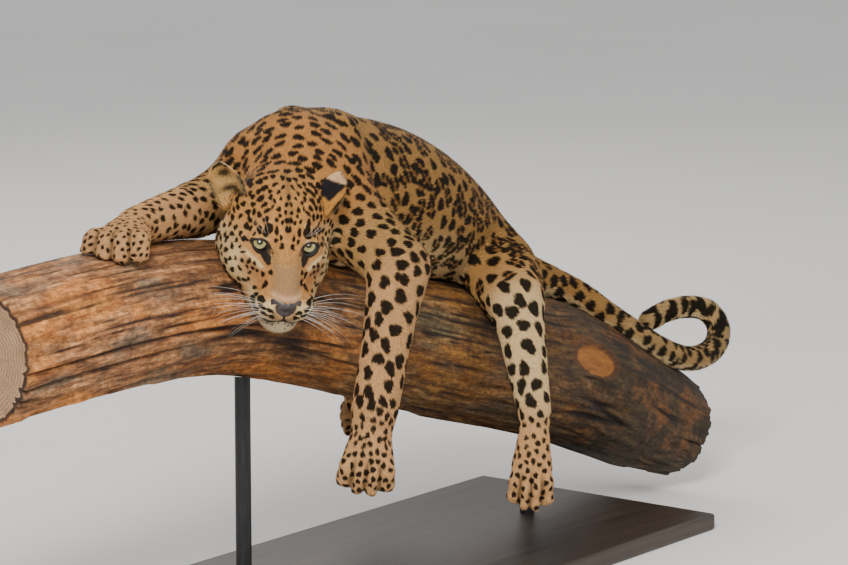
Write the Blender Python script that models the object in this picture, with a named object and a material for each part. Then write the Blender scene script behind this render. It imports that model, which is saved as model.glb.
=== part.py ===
"""A leopard lying along a cut length of branch, its near legs hanging, on a display stand.

Metres, +Z up. The branch runs along X and the animal faces -X with its left side
towards -Y. The origin is the centre of the base's underside.
"""

import math

import bmesh
import bpy
from mathutils import Matrix, Quaternion, Vector

# Gap that touching solids keep
GAP = 0.0003

# Branch: centre line as (x, z) knots with the thickness at each, and its side to side place
BRANCH_KNOTS = ((-1.02, 0.538), (-0.72, 0.548), (-0.47, 0.532), (-0.20, 0.466),
                (0.10, 0.378), (0.40, 0.296), (0.60, 0.222), (0.74, 0.160), (0.86, 0.112))
BRANCH_RADII = (0.112, 0.112, 0.110, 0.112, 0.120, 0.124, 0.118, 0.109, 0.098)
BRANCH_Y = 0.015
BRANCH_RINGS = 28
BRANCH_SIDES = 18
BRANCH_SWELL = 0.05

# Stand
BASE_LENGTH = 1.20
BASE_WIDTH = 0.52
BASE_HEIGHT = 0.030
BASE_BEVEL = 0.006
ROD_RADIUS = 0.013
ROD_PLACES = {"stand_rod_front": -0.40, "stand_rod_rear": 0.40}

# Spine stations of the trunk: place, half width, half height
CHEST_FRONT = (Vector((-0.275, -0.022, 0.700)), 0.106, 0.112)
CHEST = (Vector((-0.165, 0.000, 0.680)), 0.130, 0.138)
RIBS = (Vector((-0.035, 0.022, 0.652)), 0.137, 0.136)
WAIST = (Vector((0.100, 0.040, 0.608)), 0.126, 0.124)
LOIN = (Vector((0.215, 0.056, 0.556)), 0.106, 0.108)
PELVIS = (Vector((0.312, 0.060, 0.487)), 0.092, 0.094)
RUMP = (Vector((0.390, 0.058, 0.460)), 0.064, 0.062)

# Neck, from between the shoulders to the skull
NECK_ROOT = Vector((-0.292, -0.008, 0.734))
NECK_MIDDLE = Vector((-0.345, -0.068, 0.712))
NECK_RADIUS = 0.094

# Head: place of the point midway between the eyes, and how it is turned
EYES_MIDDLE = Vector((-0.4906, -0.1476, 0.6520))
HEAD_TURN = math.radians(226.8)
HEAD_DROOP = math.radians(24.0)
HEAD_TILT = math.radians(-6.5)
EYE_RADIUS = 0.0155
EYE_SPACING = 0.039
LID_THICKNESS = 0.0042
EYE_SLANT = math.radians(23.0)
EYE_SPLAY = math.radians(9.0)
EYE_OPENING = (0.0300, 0.0215)
NOSE_PLACE = Vector((0.089, 0.0, -0.052))
NOSE_WIDTH = 0.044
MOUTH_HEIGHT = -0.088
CHEEK_SWAY = -0.006
EAR_PLACES = {"left": (-0.070, 0.064, 0.039), "right": (-0.070, -0.080, 0.037)}
EAR_LENGTH = 0.080
EAR_WIDTH = 0.058
EAR_CUP = 0.026
EAR_ROUND = 0.50
EAR_THICKNESS = 0.0036

# Legs: joints from the trunk to the toes
SHOULDER_LEFT = Vector((-0.305, -0.098, 0.690))
ELBOW_LEFT = Vector((-0.314, -0.239, 0.604))
WRIST_LEFT = Vector((-0.399, -0.254, 0.383))
SHOULDER_RIGHT = Vector((-0.300, 0.066, 0.704))
ELBOW_RIGHT = Vector((-0.458, 0.060, 0.686))
WRIST_RIGHT = Vector((-0.649, 0.025, 0.686))
HIP_LEFT = Vector((0.271, 0.010, 0.492))
KNEE_LEFT = Vector((0.158, -0.131, 0.470))
HOCK_LEFT = Vector((0.1025, -0.211, 0.290))
HIP_RIGHT = Vector((0.285, 0.112, 0.490))
KNEE_RIGHT = Vector((0.140, 0.240, 0.470))
HOCK_RIGHT = Vector((0.250, 0.228, 0.280))
FOREARM_RADII = {"left": (0.050, 0.040, 0.039), "right": (0.046, 0.040, 0.032)}
UPPER_ARM_RADII = {"left": (0.072, 0.060, 0.050), "right": (0.072, 0.058, 0.046)}
THIGH_RADII = (0.086, 0.074, 0.050)
SHANK_RADII = (0.046, 0.038, 0.030)
FORE_PAW = {"length": 0.135, "width": 0.094, "thickness": 0.054}
FLAT_PAW = {"length": 0.130, "width": 0.110, "thickness": 0.062}
HIND_PAW = {"length": 0.175, "width": 0.082, "thickness": 0.048}

# Tail: points along its middle after the rump, and its thickness
TAIL_PATH = ((0.445, 0.040, 0.456), (0.504, 0.024, 0.430), (0.547, 0.004, 0.405), (0.583, -0.025, 0.371),
             (0.646, -0.045, 0.330), (0.733, -0.050, 0.284), (0.835, -0.048, 0.251), (0.930, -0.036, 0.252),
             (0.989, -0.014, 0.279), (0.987, 0.008, 0.312), (0.947, 0.028, 0.325), (0.896, 0.042, 0.3235),
             (0.846, 0.052, 0.3105))
TAIL_RADII = (0.032, 0.0265, 0.0250, 0.0225)

# Modelling scale of the clay, its stiffness, the share of a lump's reach that shows, and how
# close the lumps stand in a rope, as a share of their size
CLAY_SCALE = 10.0
CLAY_STIFFNESS = 6.0
CLAY_THRESHOLD = 0.6
CLAY_SHOWN = math.sqrt(1.0 - (CLAY_THRESHOLD / CLAY_STIFFNESS) ** (1.0 / 3.0))
ROPE_STEP = 0.55
ROPE_CROWDING = 0.95
TRUNK_CROWDING = 0.91
TRUNK_REACH = 0.105
BODY_GRAIN = 0.0055
HEAD_GRAIN = 0.0034
BODY_FACES = 7550
HEAD_FACES = 4150


def clear_scene():
    for item in list(bpy.data.objects):
        bpy.data.objects.remove(item, do_unlink=True)


def finish(name, colour, roughness, metallic=0.0):
    """A Principled material."""
    material = bpy.data.materials.new(name)
    material.use_nodes = True
    shader = material.node_tree.nodes["Principled BSDF"]
    shader.inputs["Base Color"].default_value = (*colour, 1.0)
    shader.inputs["Roughness"].default_value = roughness
    shader.inputs["Metallic"].default_value = metallic
    return material


def show(name, mesh, material):
    """A named object of a mesh."""
    item = bpy.data.objects.new(name, mesh)
    bpy.context.scene.collection.objects.link(item)
    item.data.materials.clear()
    item.data.materials.append(material)
    return item


def through(points, count):
    """Points evenly spaced along a smooth curve through the given ones."""
    knots = [Vector(p) for p in points]
    knots = [2 * knots[0] - knots[1], *knots, 2 * knots[-1] - knots[-2]]
    fine = []
    steps = 24
    for i in range(1, len(knots) - 2):
        a, b, c, d = knots[i - 1:i + 3]
        for k in range(steps):
            t = k / steps
            fine.append(0.5 * (2 * b + (c - a) * t + (2 * a - 5 * b + 4 * c - d) * t * t
                               + (3 * b - a - 3 * c + d) * t ** 3))
    fine.append(knots[-2])
    lengths = [0.0]
    for p, q in zip(fine, fine[1:]):
        lengths.append(lengths[-1] + (q - p).length)
    placed = []
    j = 0
    for k in range(count):
        along = lengths[-1] * k / (count - 1)
        while j < len(lengths) - 2 and lengths[j + 1] < along:
            j += 1
        share = (along - lengths[j]) / max(lengths[j + 1] - lengths[j], 1e-9)
        placed.append(fine[j].lerp(fine[j + 1], min(max(share, 0.0), 1.0)))
    return placed


def blend_value(values, share):
    """Value at a share of the way through a short list, in straight steps."""
    place = share * (len(values) - 1)
    i = min(int(place), len(values) - 2)
    return values[i] + (values[i + 1] - values[i]) * (place - i)


class Clay:
    """Lumps that flow into one smooth surface, as clay does."""

    def __init__(self, name, grain):
        self.data = bpy.data.metaballs.new(name)
        self.data.resolution = grain * CLAY_SCALE
        self.data.render_resolution = grain * CLAY_SCALE
        self.data.threshold = CLAY_THRESHOLD
        self.item = bpy.data.objects.new(name, self.data)
        bpy.context.scene.collection.objects.link(self.item)

    def lump(self, place, radii, turn=None):
        """An ellipsoid with the given half sizes along its own X, Y and Z."""
        piece = self.data.elements.new(type="ELLIPSOID")
        piece.co = Vector(place) * CLAY_SCALE
        piece.radius = 1.0 / CLAY_SHOWN
        piece.size_x, piece.size_y, piece.size_z = (r * CLAY_SCALE for r in radii)
        piece.rotation = turn or Quaternion()
        piece.stiffness = CLAY_STIFFNESS

    def rope(self, points, radii):
        """A run of lumps along points."""
        points = [Vector(p) for p in points]
        length = sum((b - a).length for a, b in zip(points, points[1:]))
        count = max(3, int(length / (ROPE_STEP * sum(radii) / len(radii))) + 1)
        for k, place in enumerate(through(points, count)):
            r = blend_value(radii, k / (count - 1)) * ROPE_CROWDING
            self.lump(place, (r, r, r))

    def harden(self, name, faces):
        """The surface as a mesh of about so many triangles."""
        bpy.context.view_layer.update()
        shown = self.item.evaluated_get(bpy.context.evaluated_depsgraph_get())
        mesh = bpy.data.meshes.new_from_object(shown)
        mesh.transform(Matrix.Scale(1.0 / CLAY_SCALE, 4))
        bpy.data.objects.remove(self.item, do_unlink=True)
        item = bpy.data.objects.new(name, mesh)
        bpy.context.scene.collection.objects.link(item)
        smooth = item.modifiers.new("even", "SMOOTH")
        smooth.factor = 0.5
        smooth.iterations = 2
        triangles = sum(len(p.vertices) - 2 for p in mesh.polygons)
        fewer = item.modifiers.new("fewer", "DECIMATE")
        fewer.ratio = faces / triangles
        fewer.use_collapse_triangulate = True
        apply_all(item)
        return item


def apply_all(item):
    """Bakes an object's modifiers into its mesh."""
    bpy.context.view_layer.update()
    shown = item.evaluated_get(bpy.context.evaluated_depsgraph_get())
    baked = bpy.data.meshes.new_from_object(shown)
    item.modifiers.clear()
    item.data = baked


def combine(item, tools, operation):
    """Joins or cuts an object with a list of closed objects, which are used up."""
    group = bpy.data.collections.new("tools")
    bpy.context.scene.collection.children.link(group)
    for tool in tools:
        for home in list(tool.users_collection):
            home.objects.unlink(tool)
        group.objects.link(tool)
    step = item.modifiers.new(operation.lower(), "BOOLEAN")
    step.operation = operation
    step.operand_type = "COLLECTION"
    step.collection = group
    step.solver = "EXACT"
    apply_all(item)
    for tool in tools:
        bpy.data.objects.remove(tool, do_unlink=True)
    bpy.data.collections.remove(group)
    return item


def pieces_of(item):
    """The closed surfaces of an object's mesh, largest first, as new meshes."""
    form = bmesh.new()
    form.from_mesh(item.data)
    bmesh.ops.remove_doubles(form, verts=form.verts, dist=1e-7)
    form.faces.ensure_lookup_table()
    left = set(form.faces)
    groups = []
    while left:
        stack = [left.pop()]
        group = [stack[0]]
        while stack:
            for edge in stack.pop().edges:
                for face in edge.link_faces:
                    if face in left:
                        left.discard(face)
                        stack.append(face)
                        group.append(face)
        groups.append(group)
    groups.sort(key=len, reverse=True)
    meshes = []
    for group in groups:
        numbers = {}
        corners = []
        for face in group:
            for vert in face.verts:
                if vert not in numbers:
                    numbers[vert] = len(corners)
                    corners.append(vert.co.copy())
        mesh = bpy.data.meshes.new("piece")
        mesh.from_pydata(corners, [], [[numbers[v] for v in f.verts] for f in group])
        meshes.append(mesh)
    form.free()
    return meshes


def middle_of(mesh):
    """Mean of a mesh's face centres, weighted by area."""
    total = Vector()
    area = 0.0
    for face in mesh.polygons:
        total += face.center * face.area
        area += face.area
    return total / area


def swept(name, centres, radii, sides):
    """A closed tube of rings round a line of centres."""
    form = bmesh.new()
    rings = []
    for k, centre in enumerate(centres):
        ahead = (centres[min(k + 1, len(centres) - 1)] - centres[max(k - 1, 0)]).normalized()
        side = ahead.cross(Vector((0, 0, 1))).normalized()
        top = side.cross(ahead)
        ring = []
        for s in range(sides):
            a = 2 * math.pi * s / sides
            r = radii(k, a)
            ring.append(form.verts.new(centre + side * math.cos(a) * r + top * math.sin(a) * r))
        rings.append(ring)
    for near, far in zip(rings, rings[1:]):
        for s in range(sides):
            form.faces.new((near[s], near[(s + 1) % sides], far[(s + 1) % sides], far[s]))
    form.faces.new(list(reversed(rings[0])))
    form.faces.new(rings[-1])
    bmesh.ops.recalc_face_normals(form, faces=form.faces)
    mesh = bpy.data.meshes.new(name)
    form.to_mesh(mesh)
    form.free()
    item = bpy.data.objects.new(name, mesh)
    bpy.context.scene.collection.objects.link(item)
    return item


def slab(place, normal, radius, depth=GAP):
    """A disc, thin unless given a depth, that severs a limb."""
    normal = Vector(normal).normalized()
    form = bmesh.new()
    bmesh.ops.create_cone(form, cap_ends=True, segments=24, radius1=radius, radius2=radius, depth=depth)
    turn = Vector((0, 0, 1)).rotation_difference(normal).to_matrix().to_4x4()
    middle = Vector(place) + normal * (depth - GAP) / 2
    bmesh.ops.transform(form, matrix=Matrix.Translation(middle) @ turn, verts=form.verts)
    mesh = bpy.data.meshes.new("slab")
    form.to_mesh(mesh)
    form.free()
    item = bpy.data.objects.new("slab", mesh)
    bpy.context.scene.collection.objects.link(item)
    return item


def ball(name, place, radii, turn=None, rings=9):
    """A closed ellipsoid."""
    form = bmesh.new()
    bmesh.ops.create_uvsphere(form, u_segments=2 * rings, v_segments=rings, radius=1.0)
    grown = Matrix.Diagonal((*radii, 1.0))
    turned = (turn or Quaternion()).to_matrix().to_4x4()
    bmesh.ops.transform(form, matrix=Matrix.Translation(place) @ turned @ grown, verts=form.verts)
    mesh = bpy.data.meshes.new(name)
    form.to_mesh(mesh)
    form.free()
    item = bpy.data.objects.new(name, mesh)
    bpy.context.scene.collection.objects.link(item)
    return item


def prism(name, outline, low, high, place):
    """An outline in the (y, z) plane extruded from low to high along x, then placed."""
    form = bmesh.new()
    base = [form.verts.new(place @ Vector((low, y, z))) for y, z in outline]
    top = [form.verts.new(place @ Vector((high, y, z))) for y, z in outline]
    count = len(outline)
    for i in range(count):
        form.faces.new((base[i], base[(i + 1) % count], top[(i + 1) % count], top[i]))
    form.faces.new(list(reversed(base)))
    form.faces.new(top)
    bmesh.ops.recalc_face_normals(form, faces=form.faces)
    mesh = bpy.data.meshes.new(name)
    form.to_mesh(mesh)
    form.free()
    item = bpy.data.objects.new(name, mesh)
    bpy.context.scene.collection.objects.link(item)
    return item


HEAD = (Matrix.Translation(EYES_MIDDLE) @ Matrix.Rotation(HEAD_TURN, 4, "Z")
        @ Matrix.Rotation(HEAD_DROOP, 4, "Y") @ Matrix.Rotation(HEAD_TILT, 4, "X"))
HEAD_QUATERNION = HEAD.to_quaternion()


def on_head(x, y, z):
    """A place given forward, left and up of the point between the eyes."""
    return HEAD @ Vector((x, y, z))


def branch_line(count, grown=0.0):
    """Centres along the branch, and the same line run past its ends when grown."""
    centres = through([(x, BRANCH_Y, z) for x, z in BRANCH_KNOTS], count)
    if grown:
        centres[0] += (centres[0] - centres[1]).normalized() * grown
        centres[-1] += (centres[-1] - centres[-2]).normalized() * grown
    return centres


def share_along(along):
    """Share of the way through the branch's knots at a share of its length."""
    spans = [math.dist(a, b) for a, b in zip(BRANCH_KNOTS, BRANCH_KNOTS[1:])]
    left = along * sum(spans)
    for k, span in enumerate(spans):
        if left <= span:
            return (k + left / span) / len(spans)
        left -= span
    return 1.0


def branch_radius(k, angle):
    """Radius of the branch at ring k: long swells, a knot and shallow flutes."""
    along = k / (BRANCH_RINGS - 1)
    swell = math.sin(along * 9.0 + 0.6) * 0.45 + math.sin(along * 17.0 + angle) * 0.35
    flutes = math.sin(3 * angle + along * 5.0) * 0.40 + math.sin(5 * angle - along * 7.0) * 0.25
    return blend_value(BRANCH_RADII, share_along(along)) * (1.0 + BRANCH_SWELL * (swell + flutes) * 0.7)


def branch_solid(name, grown=0.0):
    return swept(name, branch_line(BRANCH_RINGS, grown),
                 lambda k, a: branch_radius(k, a) + grown, BRANCH_SIDES)


def model_trunk(clay):
    """Chest, ribs, waist, loin and pelvis, with the shoulder blades."""
    stations = (CHEST_FRONT, CHEST, RIBS, WAIST, LOIN, PELVIS, RUMP)
    count = 15
    line = through([s[0] for s in stations], count)
    for k, place in enumerate(line):
        share = k / (count - 1)
        wide = blend_value([s[1] for s in stations], share)
        high = blend_value([s[2] for s in stations], share)
        ahead = (line[min(k + 1, count - 1)] - line[max(k - 1, 0)]).normalized()
        left = Vector((0, 0, 1)).cross(ahead).normalized()
        turn = Matrix((ahead, left, ahead.cross(left))).transposed().to_quaternion()
        clay.lump(place, (TRUNK_REACH, wide * TRUNK_CROWDING, high * TRUNK_CROWDING), turn)


def model_shoulder(clay, joint, blade_top):
    """Shoulder blade and the muscle over it."""
    clay.rope((joint, blade_top), (0.062, 0.056, 0.042))


def model_neck(clay):
    skull_base = on_head(-0.085, 0.0, 0.0)
    clay.rope((NECK_ROOT, NECK_MIDDLE, skull_base), (0.108, NECK_RADIUS, 0.076))


def model_paw(clay, wrist, ahead, back, form):
    """A paw from its wrist: ahead is where the toes point, back is its upper side."""
    ahead = ahead.normalized()
    back = (back - back.dot(ahead) * ahead).normalized()
    side = back.cross(ahead)
    turn = Matrix((ahead, side, back)).transposed().to_quaternion()
    length, width, thick = form["length"], form["width"], form["thickness"]
    clay.lump(wrist + ahead * 0.30 * length, (0.34 * length, 0.36 * width, 0.44 * thick), turn)
    clay.lump(wrist + ahead * 0.52 * length - back * 0.06 * thick,
              (0.26 * length, 0.44 * width, 0.46 * thick), turn)
    toe = width * 0.155
    for k, (across, reach) in enumerate(((-0.355, 0.76), (-0.125, 0.83), (0.125, 0.83), (0.355, 0.76))):
        fan = Quaternion(back, math.radians((-12.0, -4.0, 4.0, 12.0)[k]))
        knuckle = wrist + side * across * width * 0.95 + ahead * (reach - 0.09) * length + back * 0.12 * thick
        clay.lump(knuckle, (toe * 1.45, toe, toe * 1.05), fan @ turn)
        tip = wrist + side * across * width * 1.05 + ahead * (reach + 0.04) * length - back * 0.16 * thick
        clay.lump(tip, (toe * 1.15, toe * 0.98, toe * 1.02), fan @ turn)


def model_foreleg(clay, side, shoulder, elbow, wrist):
    clay.rope((shoulder, elbow), UPPER_ARM_RADII[side])
    clay.rope((elbow, elbow.lerp(wrist, 0.55), wrist), FOREARM_RADII[side])


def model_hindleg(clay, hip, knee, hock):
    clay.rope((hip, knee), THIGH_RADII)
    clay.rope((knee, knee.lerp(hock, 0.5), hock), SHANK_RADII)


def model_tail(clay):
    clay.rope((RUMP[0], *TAIL_PATH), TAIL_RADII)


def model_body():
    clay = Clay("body", BODY_GRAIN)
    model_trunk(clay)
    model_neck(clay)
    clay.lump(on_head(-0.075, 0.0, 0.018), (0.078, 0.066, 0.060), HEAD_QUATERNION)
    clay.lump((-0.215, 0.000, 0.770), (0.085, 0.060, 0.060))
    clay.lump((-0.325, 0.050, 0.742), (0.056, 0.056, 0.056))
    model_shoulder(clay, SHOULDER_LEFT, Vector((-0.232, -0.048, 0.788)))
    model_shoulder(clay, SHOULDER_RIGHT, Vector((-0.225, 0.050, 0.792)))
    model_foreleg(clay, "left", SHOULDER_LEFT, ELBOW_LEFT, WRIST_LEFT)
    model_foreleg(clay, "right", SHOULDER_RIGHT, ELBOW_RIGHT, WRIST_RIGHT)
    model_hindleg(clay, HIP_LEFT, KNEE_LEFT, HOCK_LEFT)
    model_hindleg(clay, HIP_RIGHT, KNEE_RIGHT, HOCK_RIGHT)
    camera_side = Vector((-0.79, -0.59, 0.0))
    model_paw(clay, WRIST_LEFT, PAW_WAYS["left"], camera_side, FORE_PAW)
    model_paw(clay, WRIST_RIGHT, PAW_WAYS["right"], Vector((-0.1, 0.0, 1.0)), FLAT_PAW)
    model_paw(clay, HOCK_LEFT, FOOT_WAYS["left"], camera_side, HIND_PAW)
    model_paw(clay, HOCK_RIGHT, FOOT_WAYS["right"], Vector((0.0, 1.0, 0.35)), HIND_PAW)
    model_tail(clay)
    return clay.harden("body", BODY_FACES)


def pair(clay, x, y, z, radii, yaw=0.0, pitch=0.0, sway=0.0):
    """A lump on each side of the head, mirrored, then shifted sideways."""
    for side in (1, -1):
        turn = (HEAD.to_3x3() @ Matrix.Rotation(side * yaw, 3, "Z")
                @ Matrix.Rotation(pitch, 3, "Y")).to_quaternion()
        clay.lump(on_head(x, side * y + sway, z), radii, turn)


def single(clay, x, z, radii, pitch=0.0):
    turn = (HEAD.to_3x3() @ Matrix.Rotation(pitch, 3, "Y")).to_quaternion()
    clay.lump(on_head(x, 0.0, z), radii, turn)


def model_head():
    clay = Clay("head", HEAD_GRAIN)
    model_neck(clay)
    single(clay, -0.075, 0.018, (0.078, 0.066, 0.060))
    single(clay, -0.026, 0.018, (0.042, 0.046, 0.034), pitch=0.35)
    pair(clay, -0.008, 0.033, 0.019, (0.022, 0.017, 0.012), pitch=0.3)
    single(clay, 0.030, -0.012, (0.058, 0.024, 0.021), pitch=0.42)
    pair(clay, 0.016, 0.024, -0.029, (0.036, 0.022, 0.023), yaw=-0.2, pitch=0.3)
    single(clay, 0.030, -0.045, (0.052, 0.037, 0.034), pitch=0.25)
    pair(clay, 0.054, 0.024, -0.066, (0.037, 0.027, 0.028), yaw=0.10)
    single(clay, 0.074, -0.075, (0.020, 0.026, 0.018))
    pair(clay, 0.020, 0.034, -0.063, (0.040, 0.026, 0.029), yaw=-0.25)
    single(clay, 0.077, -0.047, (0.022, 0.024, 0.017), pitch=0.35)
    single(clay, 0.040, -0.089, (0.036, 0.034, 0.020))
    single(clay, 0.048, -0.105, (0.032, 0.032, 0.021), pitch=-0.1)
    pair(clay, 0.000, 0.032, -0.088, (0.055, 0.024, 0.024), yaw=-0.3)
    pair(clay, -0.028, 0.054, -0.042, (0.046, 0.034, 0.046), sway=CHEEK_SWAY)
    pair(clay, -0.008, 0.050, -0.023, (0.036, 0.020, 0.021), yaw=-0.35)
    pair(clay, -0.062, 0.057, -0.034, (0.034, 0.035, 0.052), sway=CHEEK_SWAY)
    pair(clay, -0.074, 0.050, 0.026, (0.030, 0.022, 0.024), sway=CHEEK_SWAY)
    single(clay, -0.045, -0.076, (0.055, 0.052, 0.042))
    pair(clay, 0.0, EYE_SPACING, 0.0, (EYE_RADIUS + LID_THICKNESS,) * 3)
    return clay.harden("head", HEAD_FACES)


def almond(width, height, slant, count=20):
    """Outline of an eye opening, its outer corner raised."""
    outline = []
    for k in range(count):
        a = 2 * math.pi * k / count
        y = math.cos(a) * width / 2
        z = math.sin(a) * height / 2 * (1.0 - 0.35 * math.cos(a) ** 2)
        outline.append((y * math.cos(slant) - z * math.sin(slant), y * math.sin(slant) + z * math.cos(slant)))
    return outline


def eye_frame(side):
    """Placement of an eye: x out along its gaze."""
    return HEAD @ Matrix.Translation((0.0, side * EYE_SPACING, 0.0)) @ Matrix.Rotation(side * EYE_SPLAY, 4, "Z")


def eye_cutters():
    tools = []
    for side in (1, -1):
        outline = almond(*EYE_OPENING, side * EYE_SLANT)
        tools.append(prism("opening", outline, 0.004, 0.035, eye_frame(side)))
        tools.append(ball("socket", on_head(0.0, side * EYE_SPACING, 0.0), (EYE_RADIUS + GAP,) * 3))
    return tools


def lip_line(angle):
    """Place on the mouth's line, angle 0 at the front of the muzzle."""
    half_width, reach, back = 0.043, 0.066, 0.022
    x = back + reach * math.cos(angle)
    y = half_width * math.sin(angle)
    dip = 0.006 * math.sin(2 * abs(angle)) ** 2
    return Vector((x, y, MOUTH_HEIGHT - dip + 0.010 * (abs(angle) / math.pi) ** 2))


def mouth_cutter(depth=0.007, reach=0.020, width=0.0022, count=22):
    """A thin band round the muzzle that presses in the line between the lips."""
    form = bmesh.new()
    rings = []
    limit = math.radians(108)
    for k in range(count + 1):
        angle = -limit + 2 * limit * k / count
        middle = lip_line(angle)
        outward = Vector((math.cos(angle), math.sin(angle), 0.0))
        thin = width * (0.4 + 0.6 * math.cos(angle * 0.5) ** 2) / 2
        inner, outer = middle - outward * depth, middle + outward * reach
        corners = (inner + Vector((0, 0, -thin)), outer + Vector((0, 0, -thin)),
                   outer + Vector((0, 0, thin)), inner + Vector((0, 0, thin)))
        rings.append([form.verts.new(HEAD @ c) for c in corners])
    for near, far in zip(rings, rings[1:]):
        for s in range(4):
            form.faces.new((near[s], near[(s + 1) % 4], far[(s + 1) % 4], far[s]))
    form.faces.new(rings[0])
    form.faces.new(list(reversed(rings[-1])))
    bmesh.ops.recalc_face_normals(form, faces=form.faces)
    mesh = bpy.data.meshes.new("mouth")
    form.to_mesh(mesh)
    form.free()
    item = bpy.data.objects.new("mouth", mesh)
    bpy.context.scene.collection.objects.link(item)
    return item


def nose_cutters():
    """Nostrils, and the groove from the nose down to the lip."""
    tools = []
    for side in (1, -1):
        turn = (HEAD.to_3x3() @ Matrix.Rotation(side * -0.5, 3, "Z")).to_quaternion()
        place = on_head(NOSE_PLACE.x + 0.008, side * NOSE_WIDTH * 0.27, NOSE_PLACE.z - 0.002)
        tools.append(ball("nostril", place, (0.0085, 0.0036, 0.0042), turn, rings=6))
    groove = [(-0.0008, 0.0), (0.0008, 0.0), (0.0008, -0.026), (-0.0008, -0.026)]
    lower = HEAD @ Matrix.Translation((NOSE_PLACE.x - 0.002, 0.0, NOSE_PLACE.z - 0.011))
    tools.append(prism("groove", groove, 0.0, 0.03, lower))
    return tools


def ear_solid(name, side, turn_out, lean):
    """A cupped ear, its root sunk into the head."""
    form = bmesh.new()
    rows, columns = 8, 8
    root = 0.020
    grid = []
    for i in range(rows + 1):
        up = i / rows
        curve = max(up - EAR_ROUND, 0.0) / (1.0 - EAR_ROUND)
        half = EAR_WIDTH / 2 * math.sqrt(max(1.0 - curve ** 2, 0.0))
        half = max(half * (0.80 + 0.20 * min(up / EAR_ROUND, 1.0)), 0.009)
        bend = 1.25 - 0.45 * up
        line = []
        for j in range(columns + 1):
            curl = (2 * j / columns - 1) * bend
            y = math.sin(curl) * half / math.sin(bend)
            x = (1.0 - math.cos(curl)) * EAR_CUP - EAR_CUP / 2
            z = up * EAR_LENGTH - root
            line.append(form.verts.new((x - 0.10 * z, y, z)))
        grid.append(line)
    for i in range(rows):
        for j in range(columns):
            form.faces.new((grid[i][j], grid[i][j + 1], grid[i + 1][j + 1], grid[i + 1][j]))
    bmesh.ops.recalc_face_normals(form, faces=form.faces)
    mesh = bpy.data.meshes.new("ear")
    form.to_mesh(mesh)
    form.free()
    item = bpy.data.objects.new("ear", mesh)
    bpy.context.scene.collection.objects.link(item)
    wall = item.modifiers.new("wall", "SOLIDIFY")
    wall.thickness = EAR_THICKNESS
    wall.offset = 0.0
    apply_all(item)
    place = (HEAD @ Matrix.Translation(EAR_PLACES[name])
             @ Matrix.Rotation(side * -lean, 4, "X") @ Matrix.Rotation(side * turn_out, 4, "Z"))
    item.data.transform(place)
    return item


PAW_WAYS = {"left": Vector((-0.40, -0.13, -1.0)), "right": Vector((-1.0, -0.44, -0.16))}
FOOT_WAYS = {"left": Vector((-0.38, -0.20, -1.0)), "right": Vector((-1.0, -0.16, -0.36))}
NECK_PLACE = on_head(-0.108, 0.0, 0.0)
NECK_WAY = HEAD.to_3x3() @ Vector((1.0, 0.0, -0.25))


def mitre(before, joint, after, radius, shift=0.0):
    """A thin disc that parts a limb at a joint, halfway between its two bones."""
    back, ahead = (before - joint).normalized(), (after - joint).normalized()
    return slab(joint + (back + ahead) * shift, ahead - back, radius)


def body_cuts():
    """Thin discs where the body is parted."""
    tail = [Vector(p) for p in TAIL_PATH]
    return [
        slab(NECK_PLACE, NECK_WAY, 0.104, 0.15),
        slab((-0.388, 0.007, 0.703), (-0.229, 0.973, 0.0), 0.096),
        slab((-0.2785, -0.0276, 0.7154), (-0.86, -0.50, -0.13), 0.20),
        slab(SHOULDER_LEFT.lerp(ELBOW_LEFT, 0.42), ELBOW_LEFT - SHOULDER_LEFT, 0.095),
        mitre(SHOULDER_LEFT, ELBOW_LEFT, WRIST_LEFT, 0.085, 0.01),
        mitre(ELBOW_LEFT, WRIST_LEFT, WRIST_LEFT + PAW_WAYS["left"], 0.060),
        slab(SHOULDER_RIGHT.lerp(ELBOW_RIGHT, 0.70), ELBOW_RIGHT - SHOULDER_RIGHT, 0.078),
        slab(ELBOW_RIGHT.lerp(WRIST_RIGHT, 0.16), WRIST_RIGHT - ELBOW_RIGHT, 0.075),
        mitre(ELBOW_RIGHT, WRIST_RIGHT, WRIST_RIGHT + PAW_WAYS["right"], 0.060),
        slab((0.195, -0.088, 0.478), (-0.2, -1.0, -0.2), 0.125),
        mitre(HIP_LEFT, KNEE_LEFT, HOCK_LEFT, 0.090, 0.01),
        mitre(KNEE_LEFT, HOCK_LEFT, HOCK_LEFT + FOOT_WAYS["left"], 0.050),
        slab((0.230, 0.184, 0.480), (0.0, 1.0, -0.2), 0.165),
        mitre(HIP_RIGHT, KNEE_RIGHT, HOCK_RIGHT, 0.115, 0.03),
        mitre(KNEE_RIGHT, HOCK_RIGHT, HOCK_RIGHT + FOOT_WAYS["right"], 0.055, 0.008),
        slab(tail[0], tail[1] - RUMP[0], 0.070),
        slab(tail[3], tail[4] - tail[2], 0.045),
        slab(tail[7], tail[8] - tail[6], 0.045),
    ]


def grown_copy(item, amount):
    """A copy of an object with its faces moved out by an amount."""
    copy = bpy.data.objects.new(item.name + "_grown", item.data.copy())
    bpy.context.scene.collection.objects.link(copy)
    swell = copy.modifiers.new("swell", "DISPLACE")
    swell.mid_level = 0.0
    swell.strength = amount
    apply_all(copy)
    return copy


def make_base(material):
    form = bmesh.new()
    bmesh.ops.create_cube(form, size=1.0)
    size = Matrix.Diagonal((BASE_LENGTH, BASE_WIDTH, BASE_HEIGHT, 1.0))
    bmesh.ops.transform(form, matrix=Matrix.Translation((0, 0, BASE_HEIGHT / 2)) @ size, verts=form.verts)
    mesh = bpy.data.meshes.new("stand_base")
    form.to_mesh(mesh)
    form.free()
    item = show("stand_base", mesh, material)
    edge = item.modifiers.new("edge", "BEVEL")
    edge.width = BASE_BEVEL
    edge.segments = 2
    apply_all(item)
    item.data.materials.clear()
    item.data.materials.append(material)


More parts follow.
